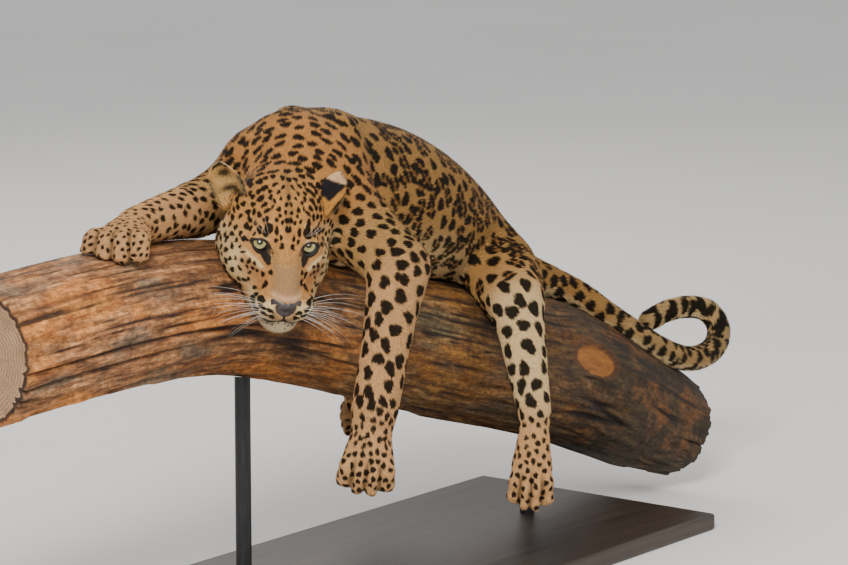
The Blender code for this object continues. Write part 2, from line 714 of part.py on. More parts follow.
def make_rods(material):
    """Rods from the base up to the underside of the branch."""
    line = branch_line(200)
    for name, x in ROD_PLACES.items():
        centre = min(line, key=lambda p: abs(p.x - x))
        low, high = BASE_HEIGHT + GAP, centre.z
        form = bmesh.new()
        bmesh.ops.create_cone(form, cap_ends=True, segments=24, radius1=ROD_RADIUS, radius2=ROD_RADIUS,
                              depth=high - low)
        place = Matrix.Translation((x, BRANCH_Y, (low + high) / 2))
        bmesh.ops.transform(form, matrix=place, verts=form.verts)
        mesh = bpy.data.meshes.new(name)
        form.to_mesh(mesh)
        form.free()
        item = show(name, mesh, material)
        combine(item, [branch_solid("cutter", GAP)], "DIFFERENCE")
        item.data = pieces_of(item)[0]
        item.data.materials.append(material)


NODE_PLACES = {
    "torso": RIBS[0],
    "neck": NECK_MIDDLE,
    "foreleg_left_upper": SHOULDER_LEFT.lerp(ELBOW_LEFT, 0.85),
    "foreleg_left_forearm": ELBOW_LEFT.lerp(WRIST_LEFT, 0.55),
    "foreleg_left_paw": WRIST_LEFT + Vector((-0.03, -0.01, -0.07)),
    "foreleg_right_upper": SHOULDER_RIGHT.lerp(ELBOW_RIGHT, 0.75),
    "foreleg_right_forearm": ELBOW_RIGHT.lerp(WRIST_RIGHT, 0.55),
    "foreleg_right_paw": WRIST_RIGHT + Vector((-0.08, -0.01, 0.0)),
    "hindleg_left_thigh": HIP_LEFT.lerp(KNEE_LEFT, 0.9),
    "hindleg_left_shank": KNEE_LEFT.lerp(HOCK_LEFT, 0.55),
    "hindleg_left_foot": HOCK_LEFT + Vector((-0.04, -0.02, -0.09)),
    "hindleg_right_thigh": HIP_RIGHT.lerp(KNEE_RIGHT, 0.85),
    "hindleg_right_shank": KNEE_RIGHT.lerp(HOCK_RIGHT, 0.55),
    "hindleg_right_foot": HOCK_RIGHT + Vector((-0.09, -0.02, -0.03)),
    "tail_root": Vector(TAIL_PATH[2]),
    "tail_middle": Vector(TAIL_PATH[5]),
    "tail_tip": Vector(TAIL_PATH[10]),
}


def make_flesh(coat):
    """Head and body, cut clear of the branch, the body parted into named pieces."""
    whole = model_head()
    tools = [slab(NECK_PLACE, NECK_WAY, 0.30), mouth_cutter(), *eye_cutters(), *nose_cutters()]
    combine(whole, [*tools, branch_solid("cutter", GAP)], "DIFFERENCE")
    nearest = min(pieces_of(whole), key=lambda m: (middle_of(m) - EYES_MIDDLE).length)
    bpy.data.objects.remove(whole, do_unlink=True)
    head = show("head", nearest, coat)

    body = model_body()
    combine(body, [grown_copy(head, 2 * GAP)], "DIFFERENCE")
    combine(body, [*body_cuts(), branch_solid("cutter", GAP)], "DIFFERENCE")
    parts = pieces_of(body)
    for name, place in NODE_PLACES.items():
        nearest = min(parts, key=lambda m: (middle_of(m) - place).length)
        parts.remove(nearest)
        show(name, nearest, coat)
    bpy.data.objects.remove(body, do_unlink=True)
    return head


def make_ears(flesh, coat):
    for name, side, turn_out, lean in (("left", 1, 1.9, 0.62), ("right", -1, 0.45, 0.60)):
        ear = ear_solid(name, side, turn_out, lean)
        for item in flesh:
            combine(ear, [grown_copy(item, GAP)], "DIFFERENCE")
        show(f"ear_{name}", pieces_of(ear)[0], coat)
        bpy.data.objects.remove(ear, do_unlink=True)


def make_eyes(glass):
    for side, name in ((1, "eye_left"), (-1, "eye_right")):
        eye = ball(name, on_head(0.0, side * EYE_SPACING, 0.0), (EYE_RADIUS,) * 3)
        eye.data.materials.append(glass)


def main():
    clear_scene()
    coat = finish("coat", (0.62, 0.36, 0.14), 0.75)
    eye = finish("eye", (0.45, 0.47, 0.22), 0.08)
    bark = finish("branch wood", (0.30, 0.17, 0.09), 0.85)
    metal = finish("stand metal", (0.05, 0.05, 0.05), 0.45, 0.8)
    wood = finish("stand wood", (0.10, 0.08, 0.07), 0.5)

    head = make_flesh(coat)
    make_ears((head, bpy.data.objects["neck"]), coat)
    make_eyes(eye)
    branch = branch_solid("branch")
    branch.data.materials.append(bark)
    make_base(wood)
    make_rods(metal)


main()
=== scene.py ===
"""A leopard lying along a cut length of branch, on a display stand.

Metres, +Z up. The branch runs along X, the animal faces -X and its left side is towards -Y.
"""

import contextlib
import heapq
import itertools
import math

import bmesh
import bpy
import numpy as np
from mathutils import Matrix, Vector, kdtree, noise
from mathutils.bvhtree import BVHTree


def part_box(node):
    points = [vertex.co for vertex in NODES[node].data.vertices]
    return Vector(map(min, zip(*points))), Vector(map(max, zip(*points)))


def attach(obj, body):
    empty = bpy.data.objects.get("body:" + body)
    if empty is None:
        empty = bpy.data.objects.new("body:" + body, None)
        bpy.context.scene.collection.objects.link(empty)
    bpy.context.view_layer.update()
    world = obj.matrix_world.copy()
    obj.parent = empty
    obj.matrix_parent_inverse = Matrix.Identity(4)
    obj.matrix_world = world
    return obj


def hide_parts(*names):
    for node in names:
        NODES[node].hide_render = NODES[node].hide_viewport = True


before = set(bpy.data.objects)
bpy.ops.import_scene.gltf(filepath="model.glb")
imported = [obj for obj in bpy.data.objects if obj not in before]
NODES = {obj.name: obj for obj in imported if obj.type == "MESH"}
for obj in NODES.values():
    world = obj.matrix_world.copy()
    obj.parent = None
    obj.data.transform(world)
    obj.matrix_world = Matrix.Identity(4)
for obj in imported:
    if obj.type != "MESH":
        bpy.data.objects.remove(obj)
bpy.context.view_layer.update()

IMAGE_SIZE = (848, 565)

SIDES = {"left": 1, "right": -1}

# Nodes of flesh, which one skin replaces
FORELEG_NODES = tuple(f"foreleg_{side}_{part}" for side in SIDES for part in ("upper", "forearm", "paw"))
HINDLEG_NODES = tuple(f"hindleg_{side}_{part}" for side in SIDES for part in ("thigh", "shank", "foot"))
TAIL_NODES = ("tail_root", "tail_middle", "tail_tip")
FLESH = ("head", "neck", "torso") + FORELEG_NODES + HINDLEG_NODES + TAIL_NODES

# How the head is turned, and its measures from the point between the eyes
HEAD_TURN = math.radians(226.8)
HEAD_DROOP = math.radians(24.0)
HEAD_TILT = math.radians(-6.5)
EYE_SLANT = math.radians(23.0)
EYE_SPLAY = math.radians(9.0)
EYE_RISE = math.radians(21.0)
EYE_OPENING = (0.0300, 0.0188)
LID_THICKNESS = 0.0022
RIM_THICKNESS = 0.0027
RIM_STEPS = 60
NOSE_MIDDLE = -0.0585
FACE_CLEARANCE = 0.20
MOUTH_HEIGHT = -0.0795
# Half width and depth of the groove between the lips and of the one under the nose
LIP_GROOVE = (0.0020, 0.0034)
PHILTRUM_GROOVE = (0.0017, 0.0022)

# Fineness of the skin, how far its nodes grow to meet, the depth of the grooves between the toes, and
# the painted shade that darkens the skin under the coat
SKIN_GRAIN = 0.0048
CLOSE_GAPS = 0.0006
TOE_GROOVE = 0.0050
SKIN_PAINTED_SHADE = 0.80

# Paws: wrist, way ahead, way to the upper side, length, width and thickness
PAWS = (
    ((-0.399, -0.254, 0.383), (-0.40, -0.13, -1.0), (-0.79, -0.59, 0.0), 0.135, 0.094, 0.054),
    ((-0.649, 0.025, 0.686), (-1.0, -0.44, -0.16), (-0.1, 0.0, 1.0), 0.130, 0.110, 0.062),
    ((0.1025, -0.211, 0.290), (-0.38, -0.20, -1.0), (-0.79, -0.59, 0.0), 0.175, 0.082, 0.048),
    ((0.250, 0.228, 0.280), (-1.0, -0.16, -0.36), (0.0, 1.0, 0.35), 0.175, 0.082, 0.048),
)

# Coat of each part: depth over the skin, tuft length and width, tufts in a square metre, in thousands
COATS = {
    "head": (0.0019, 0.0044, 0.00100, 595),
    "neck": (0.0034, 0.0070, 0.00150, 280),
    "torso": (0.0034, 0.0070, 0.00155, 200),
    "foreleg_upper": (0.0030, 0.0066, 0.00140, 255),
    "foreleg_forearm": (0.0027, 0.0064, 0.00130, 280),
    "foreleg_paw": (0.0019, 0.0046, 0.00105, 370),
    "hindleg_thigh": (0.0032, 0.0068, 0.00150, 220),
    "hindleg_shank": (0.0027, 0.0064, 0.00130, 280),
    "hindleg_foot": (0.0019, 0.0046, 0.00105, 370),
    "tail_root": (0.0036, 0.0088, 0.00145, 240),
    "tail_middle": (0.0038, 0.0098, 0.00145, 250),
    "tail_tip": (0.0040, 0.0112, 0.00145, 260),
}

# Spots of each part: mean distance apart, half length along the lie of the coat, half width and share
# of rosettes
SPOTS = {
    "head": (0.0150, 0.0060, 0.0044, 0.0),
    "neck": (0.0245, 0.0076, 0.0104, 0.0),
    "torso": (0.0360, 0.0158, 0.0138, 0.70),
    "foreleg_left_upper": (0.0238, 0.0094, 0.0075, 0.0),
    "foreleg_left_forearm": (0.0285, 0.0118, 0.0098, 0.0),
    "foreleg_left_paw": (0.0135, 0.0054, 0.0042, 0.0),
    "foreleg_right_upper": (0.0235, 0.0090, 0.0074, 0.0),
    "foreleg_right_forearm": (0.0190, 0.0066, 0.0057, 0.0),
    "foreleg_right_paw": (0.0128, 0.0040, 0.0033, 0.0),
    "hindleg_thigh": (0.0350, 0.0150, 0.0128, 0.50),
    "hindleg_shank": (0.0338, 0.0132, 0.0106, 0.0),
    "hindleg_foot": (0.0155, 0.0054, 0.0042, 0.0),
    "tail_root": (0.0285, 0.0110, 0.0112, 0.0),
    "tail_middle": (0.0285, 0.0112, 0.0126, 0.0),
    "tail_tip": (0.0290, 0.0112, 0.0175, 0.0),
}
SHOULDER_SPOTS = (0.0280, 0.0108, 0.0116, 0.0)
SPOT_GAP = 0.78
SPOT_TRIES = 90000
MARK_CLEARANCE = 0.0115


def linear(red, green, blue):
    """Linear colour of screen values from 0 to 255."""
    return np.array([(v / 255.0) ** 2.2 for v in (red, green, blue)])


# Coat colours
GOLD = linear(216, 154, 80)
# Tan of the trunk, tail root and thighs: the coat's own tan, made somewhat darker as painted shade on the
# flank
TAN = linear(172, 129, 74)
PEACH = linear(218, 168, 116)
CREAM = linear(234, 206, 154)
WHITE = linear(240, 226, 198)
BRIDGE = linear(172, 135, 96)
RUSSET = linear(180, 122, 80)
SPOT = linear(12, 9, 8)
SLATE = linear(46, 42, 46)
ROSETTE_HEART = linear(128, 82, 36)
NOSE_EDGE = linear(224, 178, 140)
GROUNDS = {
    "head": linear(200, 146, 86),
    "neck": linear(202, 142, 80),
    "torso": TAN,
    "foreleg_upper": linear(180, 140, 88),
    "foreleg_forearm": PEACH * 0.88,
    "foreleg_paw": PEACH * 0.85,
    "hindleg_thigh": TAN * 0.6 + PEACH * 0.4,
    "hindleg_shank": PEACH * 0.2 + CREAM * 0.8,
    "hindleg_foot": PEACH * 0.92,
    "tail_root": TAN,
    "tail_middle": linear(188, 152, 100),
    "tail_tip": linear(188, 156, 108),
}


def kind_of(node):
    """Name of a part without its side."""
    return node.replace("_left", "").replace("_right", "")


def node_middle(name):
    low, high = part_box(name)
    return (low + high) / 2


EYES = {side: node_middle(f"eye_{side}") for side in SIDES}
EYE_RADIUS = (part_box("eye_left")[1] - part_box("eye_left")[0]).z / 2
HEAD = (Matrix.Translation((EYES["left"] + EYES["right"]) / 2) @ Matrix.Rotation(HEAD_TURN, 4, "Z")
        @ Matrix.Rotation(HEAD_DROOP, 4, "Y") @ Matrix.Rotation(HEAD_TILT, 4, "X"))
HEAD_AXES = np.array(HEAD.to_3x3())
HEAD_PLACE = np.array(HEAD.translation)
HEAD_BACK = -HEAD_AXES[:, 0]
EYE_SPACING = (EYES["left"] - EYES["right"]).length / 2


def to_head(points):
    """Places as forward, left and up of the point between the eyes."""
    return (points - HEAD_PLACE) @ HEAD_AXES


def from_head(points):
    return points @ HEAD_AXES.T + HEAD_PLACE


# The main view, and its right, its way towards the viewer and its up in the head's measures
CAMERA_PLACE = Vector((-5.1033302, -3.88040245, 1.63897871))
CAMERA_WAY = Vector((0.78784515, 0.59088606, -0.17364818))
SEEN_RIGHT = np.array(HEAD.to_3x3().transposed() @ CAMERA_WAY.cross(Vector((0, 0, 1))).normalized())
SEEN_OUT = -np.array(HEAD.to_3x3().transposed() @ CAMERA_WAY)
SEEN_UP = np.cross(SEEN_OUT, SEEN_RIGHT)


def seen(local):
    """Places of the head, folded onto its right side, in millimetres across and up in that view."""
    folded = local * np.array([1.0, 0.0, 1.0])
    folded[:, 1] = -np.abs(local[:, 1])
    return folded @ SEEN_RIGHT * 1000.0, folded @ SEEN_UP * 1000.0


def step(low, high, value):
    """0 below low, 1 above high, smooth between. High may be the smaller."""
    share = np.clip((value - low) / (high - low), 0.0, 1.0)
    return share * share * (3.0 - 2.0 * share)


def mix(a, b, share):
    return a + (b - a) * share


def unit(vectors):
    return vectors / np.maximum(np.linalg.norm(vectors, axis=-1, keepdims=True), 1e-12)


def new_object(name, data):
    item = bpy.data.objects.new(name, data)
    bpy.context.scene.collection.objects.link(item)
    return item


def mesh_from(name, corners, faces):
    mesh = bpy.data.meshes.new(name)
    mesh.from_pydata([tuple(c) for c in corners], [], [tuple(f) for f in faces])
    return mesh


@contextlib.contextmanager
def form_of(mesh):
    """A mesh opened for shaping, written back at the end."""
    form = bmesh.new()
    form.from_mesh(mesh)
    yield form
    form.to_mesh(mesh)
    form.free()


def face_outwards(mesh, merge=None):
    """Turns a closed mesh's faces outwards, once corners nearer than a distance are merged."""
    with form_of(mesh) as form:
        if merge:
            bmesh.ops.remove_doubles(form, verts=form.verts, dist=merge)
        bmesh.ops.recalc_face_normals(form, faces=form.faces)


def read_rows(items, key, width, kind=np.float32):
    """A value of all items of a mesh, with a row for each item."""
    values = np.empty(len(items) * width, kind)
    items.foreach_get(key, values)
    return values.reshape(-1, width)


def write_rows(items, key, values, kind=np.float32):
    items.foreach_set(key, np.asarray(values).astype(kind).ravel())


def corners_of(mesh):
    return read_rows(mesh.vertices, "co", 3).astype(float)


def normals_of(mesh):
    return read_rows(mesh.vertex_normals, "vector", 3).astype(float)


def edges_of(mesh):
    return read_rows(mesh.edges, "vertices", 2, np.int32)


def triangles_of(mesh):
    """Corner numbers and face-corner numbers of a mesh's triangles."""
    mesh.calc_loop_triangles()
    return tuple(read_rows(mesh.loop_triangles, key, 3, np.int32) for key in ("vertices", "loops"))


def areas_of(corners, triangles):
    a, b, c = (corners[triangles[:, k]] for k in range(3))
    return np.linalg.norm(np.cross(b - a, c - a), axis=1) / 2


def set_corners(mesh, corners):
    write_rows(mesh.vertices, "co", corners)
    mesh.update()


def ring_faces(rings, sides):
    """Faces between rings of corners that follow one another."""
    pairs = [(j, (j + 1) % sides) for j in range(sides)]
    return [(near + j, near + k, near + sides + k, near + sides + j)
            for near in range(0, (rings - 1) * sides, sides) for j, k in pairs]


def fan_faces(start, sides, middle):
    """Three-cornered faces from a ring of corners to its middle."""
    return [(start + j, start + (j + 1) % sides, middle) for j in range(sides)]


def tree_of(places):
    """Search tree of places."""
    tree = kdtree.KDTree(len(places))
    for k, place in enumerate(places):
        tree.insert(place, k)
    tree.balance()
    return tree


def edge_sums(edges, to_first, to_second, count):
    """Sum at each corner of what its edges give to their two ends."""
    return np.bincount(edges[:, 0], to_first, count) + np.bincount(edges[:, 1], to_second, count)


def spread(values, edges, rounds, share=0.5):
    """Values at a mesh's corners, evened out along its edges."""
    values = np.array(values, float)
    flat = values.reshape(len(values), -1)
    counts = np.bincount(edges.ravel(), minlength=len(flat))[:, None]
    for _ in range(rounds):
        sums = np.empty_like(flat)
        for k in range(flat.shape[1]):
            sums[:, k] = edge_sums(edges, flat[edges[:, 1], k], flat[edges[:, 0], k], len(flat))
        flat = mix(flat, sums / np.maximum(counts, 1), share)
    return flat.reshape(values.shape)


def apply_modifiers(item):
    bpy.context.view_layer.update()
    shown = item.evaluated_get(bpy.context.evaluated_depsgraph_get())
    baked = bpy.data.meshes.new_from_object(shown)
    item.modifiers.clear()
    item.data = baked


def noise_at(points, scale, seed=0.0):
    """Smooth noise from about -1 to 1 at each place."""
    shift = Vector((seed, -seed * 0.7, seed * 1.3))
    return np.array([noise.noise(Vector(p) * scale + shift) for p in points])


def nearest_nodes(points, names):
    """Number in names of the CAD node nearest to each place."""
    owner = np.repeat(np.arange(len(names)), [len(NODES[n].data.vertices) for n in names])
    tree = tree_of([tuple(vert.co) for n in names for vert in NODES[n].data.vertices])
    return owner[[tree.find(p)[1] for p in points]]


# Skin

def flesh_block():
    """The nodes of flesh in one mesh, each grown a little so that they meet, with the eye sockets filled."""
    mesh = bpy.data.meshes.new("skin")
    with form_of(mesh) as form:
        for name in FLESH:
            form.from_mesh(NODES[name].data)
        bmesh.ops.remove_doubles(form, verts=form.verts, dist=1e-5)
        form.normal_update()
        for vert in form.verts:
            vert.co += vert.normal * CLOSE_GAPS
        for place in EYES.values():
            bmesh.ops.create_uvsphere(form, u_segments=24, v_segments=16, radius=EYE_RADIUS * 1.06,
                                      matrix=Matrix.Translation(place))
    return mesh


def refine(item, wanted):
    """Splits the faces whose middle, given as an array, is wanted."""
    with form_of(item.data) as form:
        chosen = wanted(np.array([f.calc_center_median() for f in form.faces]))
        edges = {e for f, yes in zip(form.faces, chosen) if yes for e in f.edges}
        bmesh.ops.subdivide_edges(form, edges=list(edges), cuts=1, use_grid_fill=True)


def in_head(points):
    local = to_head(points)
    return (local[:, 0] > -0.10) & (np.linalg.norm(local - np.array([-0.02, 0, -0.02]), axis=1) < 0.14)


def in_paws(points):
    """For each paw: share of its reach, place across it and share of its thickness, and its width."""
    for wrist, ahead, back, length, width, thickness in PAWS:
        ahead = np.array(ahead) / np.linalg.norm(ahead)
        back = np.array(back) - np.dot(back, ahead) * ahead
        back /= np.linalg.norm(back)
        away = points - np.array(wrist)
        yield away @ ahead / length, away @ np.cross(back, ahead), away @ back / thickness, width


def in_toes(points):
    wanted = np.zeros(len(points), bool)
    for along, across, rise, width in in_paws(points):
        wanted |= (along > 0.50) & (along < 1.25) & (np.abs(across) < 0.65 * width) & (np.abs(rise) < 1.2)
    return wanted


def toe_gaps(points):
    """1 in the grooves between the toes, fading away from them."""
    share = np.zeros(len(points))
    for along, across, rise, width in in_paws(points):
        near = step(0.54, 0.70, along) * (along < 1.25) * step(-0.70, -0.35, rise) * (rise < 1.2)
        for place in (-0.24, 0.0, 0.24):
            middle = place * width * (1.0 + 0.6 * (along - 0.80))
            share = np.maximum(share, near * np.exp(-((across - middle) / 0.0032) ** 2))
    return share


def in_face(points):
    """Round the eyes, the nose and the mouth."""
    local = to_head(points)
    eyes = np.min([np.linalg.norm(local - np.array([0.004, side * EYE_SPACING, 0.0]), axis=1)
                   for side in SIDES.values()], axis=0)
    return in_head(points) & ((eyes < 0.034) | ((local[:, 0] > 0.035) & (local[:, 2] < -0.02)))


def lip_line(angle):
    """Place on the mouth's line, angle 0 at the front of the muzzle: a low arch on each side."""
    drop = 0.0150 * min(abs(angle) / 0.45, 1.0) ** 0.8
    rise = 0.020 * (abs(angle) / math.pi) ** 2
    return (0.022 + 0.066 * math.cos(angle), 0.043 * math.sin(angle), MOUTH_HEIGHT - drop + rise)


LIPS = np.array([lip_line(math.radians(a)) for a in range(-108, 109, 3)])
PHILTRUM = np.array([(0.088, 0.0, z) for z in np.linspace(-0.0735, MOUTH_HEIGHT, 5)])


def reach(points, line, flat=False):
    """Distance of each place to a line of places, seen from the front if flat."""
    used = slice(1, 3) if flat else slice(0, 3)
    return np.min([np.linalg.norm(points[:, used] - p[used], axis=1) for p in line], axis=0)


def eye_axes(side):
    """Axes of an eye's opening in the head's measures: out along the opening, along it and up across it."""
    return np.array(Matrix.Rotation(side * EYE_SPLAY, 3, "Z") @ Matrix.Rotation(side * EYE_SLANT, 3, "X")
                    @ Matrix.Rotation(-EYE_RISE, 3, "Y"))


def to_eye(local, side):
    """Places of the head as out of, along and up across an eye's opening."""
    return (local - np.array([0.0, side * EYE_SPACING, 0.0])) @ eye_axes(side)


def from_eye(places, side):
    """Places of the head from those of an eye's opening."""
    return places @ eye_axes(side).T + np.array([0.0, side * EYE_SPACING, 0.0])


def almond(along, up):
    """1 on the rim of the eye opening, less inside it."""
    half_width, half_height = EYE_OPENING[0] / 2, EYE_OPENING[1] / 2
    taper = 1.0 - 0.35 * np.clip(np.abs(along) / half_width, 0, 1) ** 2
    return np.sqrt((along / half_width) ** 2 + (up / (half_height * taper)) ** 2)


def sculpt_face(local, normals):
    """Lids round the eyes, the line of the mouth and the groove under the nose."""
    for side in SIDES.values():
        rel = to_eye(local, side)
        far = np.linalg.norm(rel, axis=1)
        rim = almond(rel[:, 1], rel[:, 2])
        near = (rel[:, 0] > 0.002) & (far < 0.030)
        lid = EYE_RADIUS + LID_THICKNESS * (1.0 + 0.35 * step(1.2, 1.7, rim))
        wanted = mix(lid, EYE_RADIUS - 0.0030, step(1.10, 0.92, rim))
        hold = step(2.1, 1.35, rim) * near
        local = from_eye(mix(rel, rel * (wanted / np.maximum(far, 1e-6))[:, None], hold[:, None]), side)
    depth = np.zeros(len(local))
    for line, (half_width, deepest), front in ((LIPS, LIP_GROOVE, 0.0), (PHILTRUM, PHILTRUM_GROOVE, 0.05)):
        depth += np.exp(-(reach(local, line, flat=True) / half_width) ** 2) * (local[:, 0] > front) * deepest
    return local - normals * depth[:, None]


def make_skin():
    """One smooth skin under the coat, finer on the head, with its parts' numbers and coat measures."""
    item = new_object("skin", flesh_block())
    whole = item.modifiers.new("whole", "REMESH")
    whole.mode = "VOXEL"
    whole.voxel_size = SKIN_GRAIN
    even = item.modifiers.new("even", "SMOOTH")
    even.factor = 0.5
    even.iterations = 5
    apply_modifiers(item)
    for wanted in (in_head, in_face, in_toes):
        refine(item, wanted)
    mesh = item.data
    with form_of(mesh) as form:
        bmesh.ops.triangulate(form, faces=form.faces)
    corners, edges = corners_of(mesh), edges_of(mesh)
    corners = np.where(in_head(corners)[:, None], spread(corners, edges, 6), corners)
    set_corners(mesh, corners)

    part = nearest_nodes(corners, FLESH)
    measures = spread(np.array([COATS[kind_of(n)] for n in FLESH])[part], edges, 14)
    depth = measures[:, :1] + TOE_GROOVE * toe_gaps(corners)[:, None]
    set_corners(mesh, corners - normals_of(mesh) * depth)

    corners = corners_of(mesh)
    local, turned = to_head(corners), normals_of(mesh) @ HEAD_AXES
    face = in_head(corners)
    local[face] = sculpt_face(local[face], turned[face])
    corners[face] = from_head(local[face])
    set_corners(mesh, corners)
    mesh.shade_smooth()
    return item, part, measures


def way_from_nose(corners, edges):
    """Length of the shortest way over the edges from the nose to each corner."""
    lengths = np.linalg.norm(corners[edges[:, 0]] - corners[edges[:, 1]], axis=1)
    links = [[] for _ in range(len(corners))]
    for (a, b), length in zip(edges.tolist(), lengths.tolist()):
        links[a].append((b, length))
        links[b].append((a, length))
    nose = from_head(np.array([[0.089, 0.0, NOSE_MIDDLE]]))[0]
    start = int(np.argmin(np.linalg.norm(corners - nose, axis=1)))
    away = np.full(len(corners), 1e9)
    away[start] = 0.0
    queue = [(0.0, start)]
    while queue:
        so_far, k = heapq.heappop(queue)
        if so_far > away[k]:
            continue
        for other, length in links[k]:
            if so_far + length < away[other]:
                away[other] = so_far + length
                heapq.heappush(queue, (so_far + length, other))
    return away


def along_surface(ways, normals):
    """Directions laid flat on the surface."""
    return unit(ways - normals * np.sum(ways * normals, axis=1, keepdims=True))


def lie_of_coat(mesh):
    """Direction in which the coat lies at each corner: away from the nose, over the surface."""
    corners, edges = corners_of(mesh), edges_of(mesh)
    away = spread(np.minimum(way_from_nose(corners, edges), 5.0), edges, 25)
    spans = corners[edges[:, 1]] - corners[edges[:, 0]]
    drift = (away[edges[:, 1]] - away[edges[:, 0]]) / np.maximum(np.linalg.norm(spans, axis=1), 1e-9) ** 2
    pulls = spans * drift[:, None]
    lie = np.stack([edge_sums(edges, pulls[:, k], pulls[:, k], len(corners)) for k in range(3)], axis=1)
    lie = spread(unit(lie), edges, 30)
    lie[:, 2] -= 0.12
    return along_surface(lie, normals_of(mesh))


# Markings

def crowded(place, scales, neighbours):
    """Whether one of the neighbours lies nearer to a place than its gaps along and across the coat."""
    for other in neighbours:
        a, b, c = place[0] - other[0], place[1] - other[1], place[2] - other[2]
        if sum((s[0] * a + s[1] * b + s[2] * c) ** 2 for s in scales) < 1.0:
            return True
    return False


def scatter(corners, lie, normals, gaps, order):
    """Numbers of corners that keep their own gaps from one another, tried in order."""
    cell = float(gaps.max())
    ways = (lie, np.cross(normals, lie), normals)
    widths = (*gaps.T, gaps.max(axis=1))
    scales = np.stack([way / width[:, None] for way, width in zip(ways, widths)], axis=1).tolist()
    places = corners.tolist()
    grid = {}
    kept = []
    for k in order:
        home = [int(math.floor(v / cell)) for v in places[k]]
        cells = itertools.product(*((h - 1, h, h + 1) for h in home))
        if not crowded(places[k], scales[k], (p for near in cells for p in grid.get(near, ()))):
            grid.setdefault(tuple(home), []).append(places[k])
            kept.append(k)
    return np.array(kept)


class Spots:
    """Dark spots and rosettes, each with its place, lie, half sizes and the phases of its edge."""

    def __init__(self):
        self.rows = []

    def add(self, place, along, normal, half_length, half_width, rosette, phases):
        across = np.cross(normal, along)
        self.rows.append((place, along, across, normal, half_length, half_width, rosette, phases))

    def settle(self):
        columns = list(zip(*self.rows))
        self.place, self.along, self.across, self.normal = (np.array(c) for c in columns[:4])
        self.half_length, self.half_width, self.rosette = (np.array(c, float) for c in columns[4:7])
        self.phases = np.array(columns[7])
        self.tree = tree_of(self.place)

    def cover(self, points, tries=3):
        """How dark the spots make each place, and how far it lies in a rosette's heart."""
        found = np.array([[hit[1] for hit in self.tree.find_n(p, tries)] for p in points])
        dark, heart = np.zeros(len(points)), np.zeros(len(points))
        for column in found.T:
            rel = points - self.place[column]
            u = np.sum(rel * self.along[column], axis=1) / self.half_length[column]
            v = np.sum(rel * self.across[column], axis=1) / self.half_width[column]
            w = np.sum(rel * self.normal[column], axis=1) / (1.6 * self.half_length[column])
            angle = np.arctan2(v, u)
            p = self.phases[column]
            rosette = self.rosette[column]
            edge = (1.0 + 0.10 * np.sin(2 * angle + p[:, 0]) + 0.10 * np.sin(3 * angle + p[:, 1])
                    + 0.05 * np.sin(5 * angle + p[:, 2]))
            far = np.sqrt(u * u + v * v + w * w) / edge
            blob = step(1.05, 0.93, far)
            petals = 2.0 + np.floor(p[:, 3] / math.tau * 2.99)
            broken = step(-0.97, -0.80, np.sin(petals * angle + p[:, 3]))
            ring = step(0.42, 0.34, np.abs(far - 0.70)) * broken
            dark = np.maximum(dark, mix(blob, ring, rosette))
            heart = np.maximum(heart, step(0.72, 0.50, far) * rosette)
        return dark, heart


def bare_face(local):
    """Where the head has no scattered spots: the bridge, the muzzle, the chin and round the eyes."""
    x, y, z = local[:, 0], np.abs(local[:, 1]), local[:, 2]
    bridge = (y < 0.024) & (x > -0.002) & (z < 0.016)
    eyes = (np.hypot(y - EYE_SPACING, z - 0.002) < 0.024) & (x > -0.02)
    muzzle = (x > 0.018) & (z < -0.030)
    chin = (x > 0.0) & (z < -0.085)
    return (x > -0.10) & (bridge | eyes | muzzle | chin)


def members(part, names):
    """Whether each corner belongs to one of the nodes named."""
    return np.array([n in names for n in FLESH])[part]


def make_spots(skin, part, lie, rng):
    """The drawn marks of the face, and spots scattered over the rest of the coat."""
    spots = Spots()
    corners, normals = corners_of(skin.data), normals_of(skin.data)
    face_marks(spots, rng)
    drawn = tree_of([row[0] for row in spots.rows])
    table = np.array([SPOTS.get(n) or SPOTS[kind_of(n)] for n in FLESH])[part]
    table = spread(table, edges_of(skin.data), 40)
    # Solid spots over the shoulders, before the rosettes of the flanks, and longer ones on the nape
    shoulder = members(part, ("torso", "neck")) * step(-0.12, -0.22, corners[:, 0])
    table = mix(table, np.array(SHOULDER_SPOTS), (shoulder * step(-0.36, -0.26, corners[:, 0]))[:, None])
    local, head = to_head(corners), members(part, ("head",))
    table[:, 1] *= 1.0 + 0.3 * head * step(-0.06, -0.11, local[:, 0])
    close = np.zeros(len(corners), bool)
    for k in np.nonzero(in_head(corners))[0]:
        close[k] = drawn.find(corners[k])[2] < MARK_CLEARANCE
    usable = ~(head & bare_face(local)) & ~close
    order = rng.permutation(np.nonzero(usable)[0])[:SPOT_TRIES]
    longer = np.sqrt(table[:, 1] / table[:, 2])
    gaps = np.stack([table[:, 0] * SPOT_GAP * longer, table[:, 0] * SPOT_GAP / longer], axis=1)
    for k in scatter(corners, lie, normals, gaps, order.tolist()):
        _, half_length, half_width, share = table[k]
        vary = rng.uniform(0.86, 1.15, 2)
        swing = rng.normal(0.0, 0.20)
        along = unit(lie[k] + np.cross(normals[k], lie[k]) * swing)
        rosette = float(rng.random() < share)
        if rosette == 0.0 and share > 0.2:
            vary *= 0.82
        phases = rng.uniform(0, math.tau, 4)
        spots.add(corners[k], along, normals[k], half_length * vary[0], half_width * vary[1], rosette, phases)
    spots.settle()
    return spots


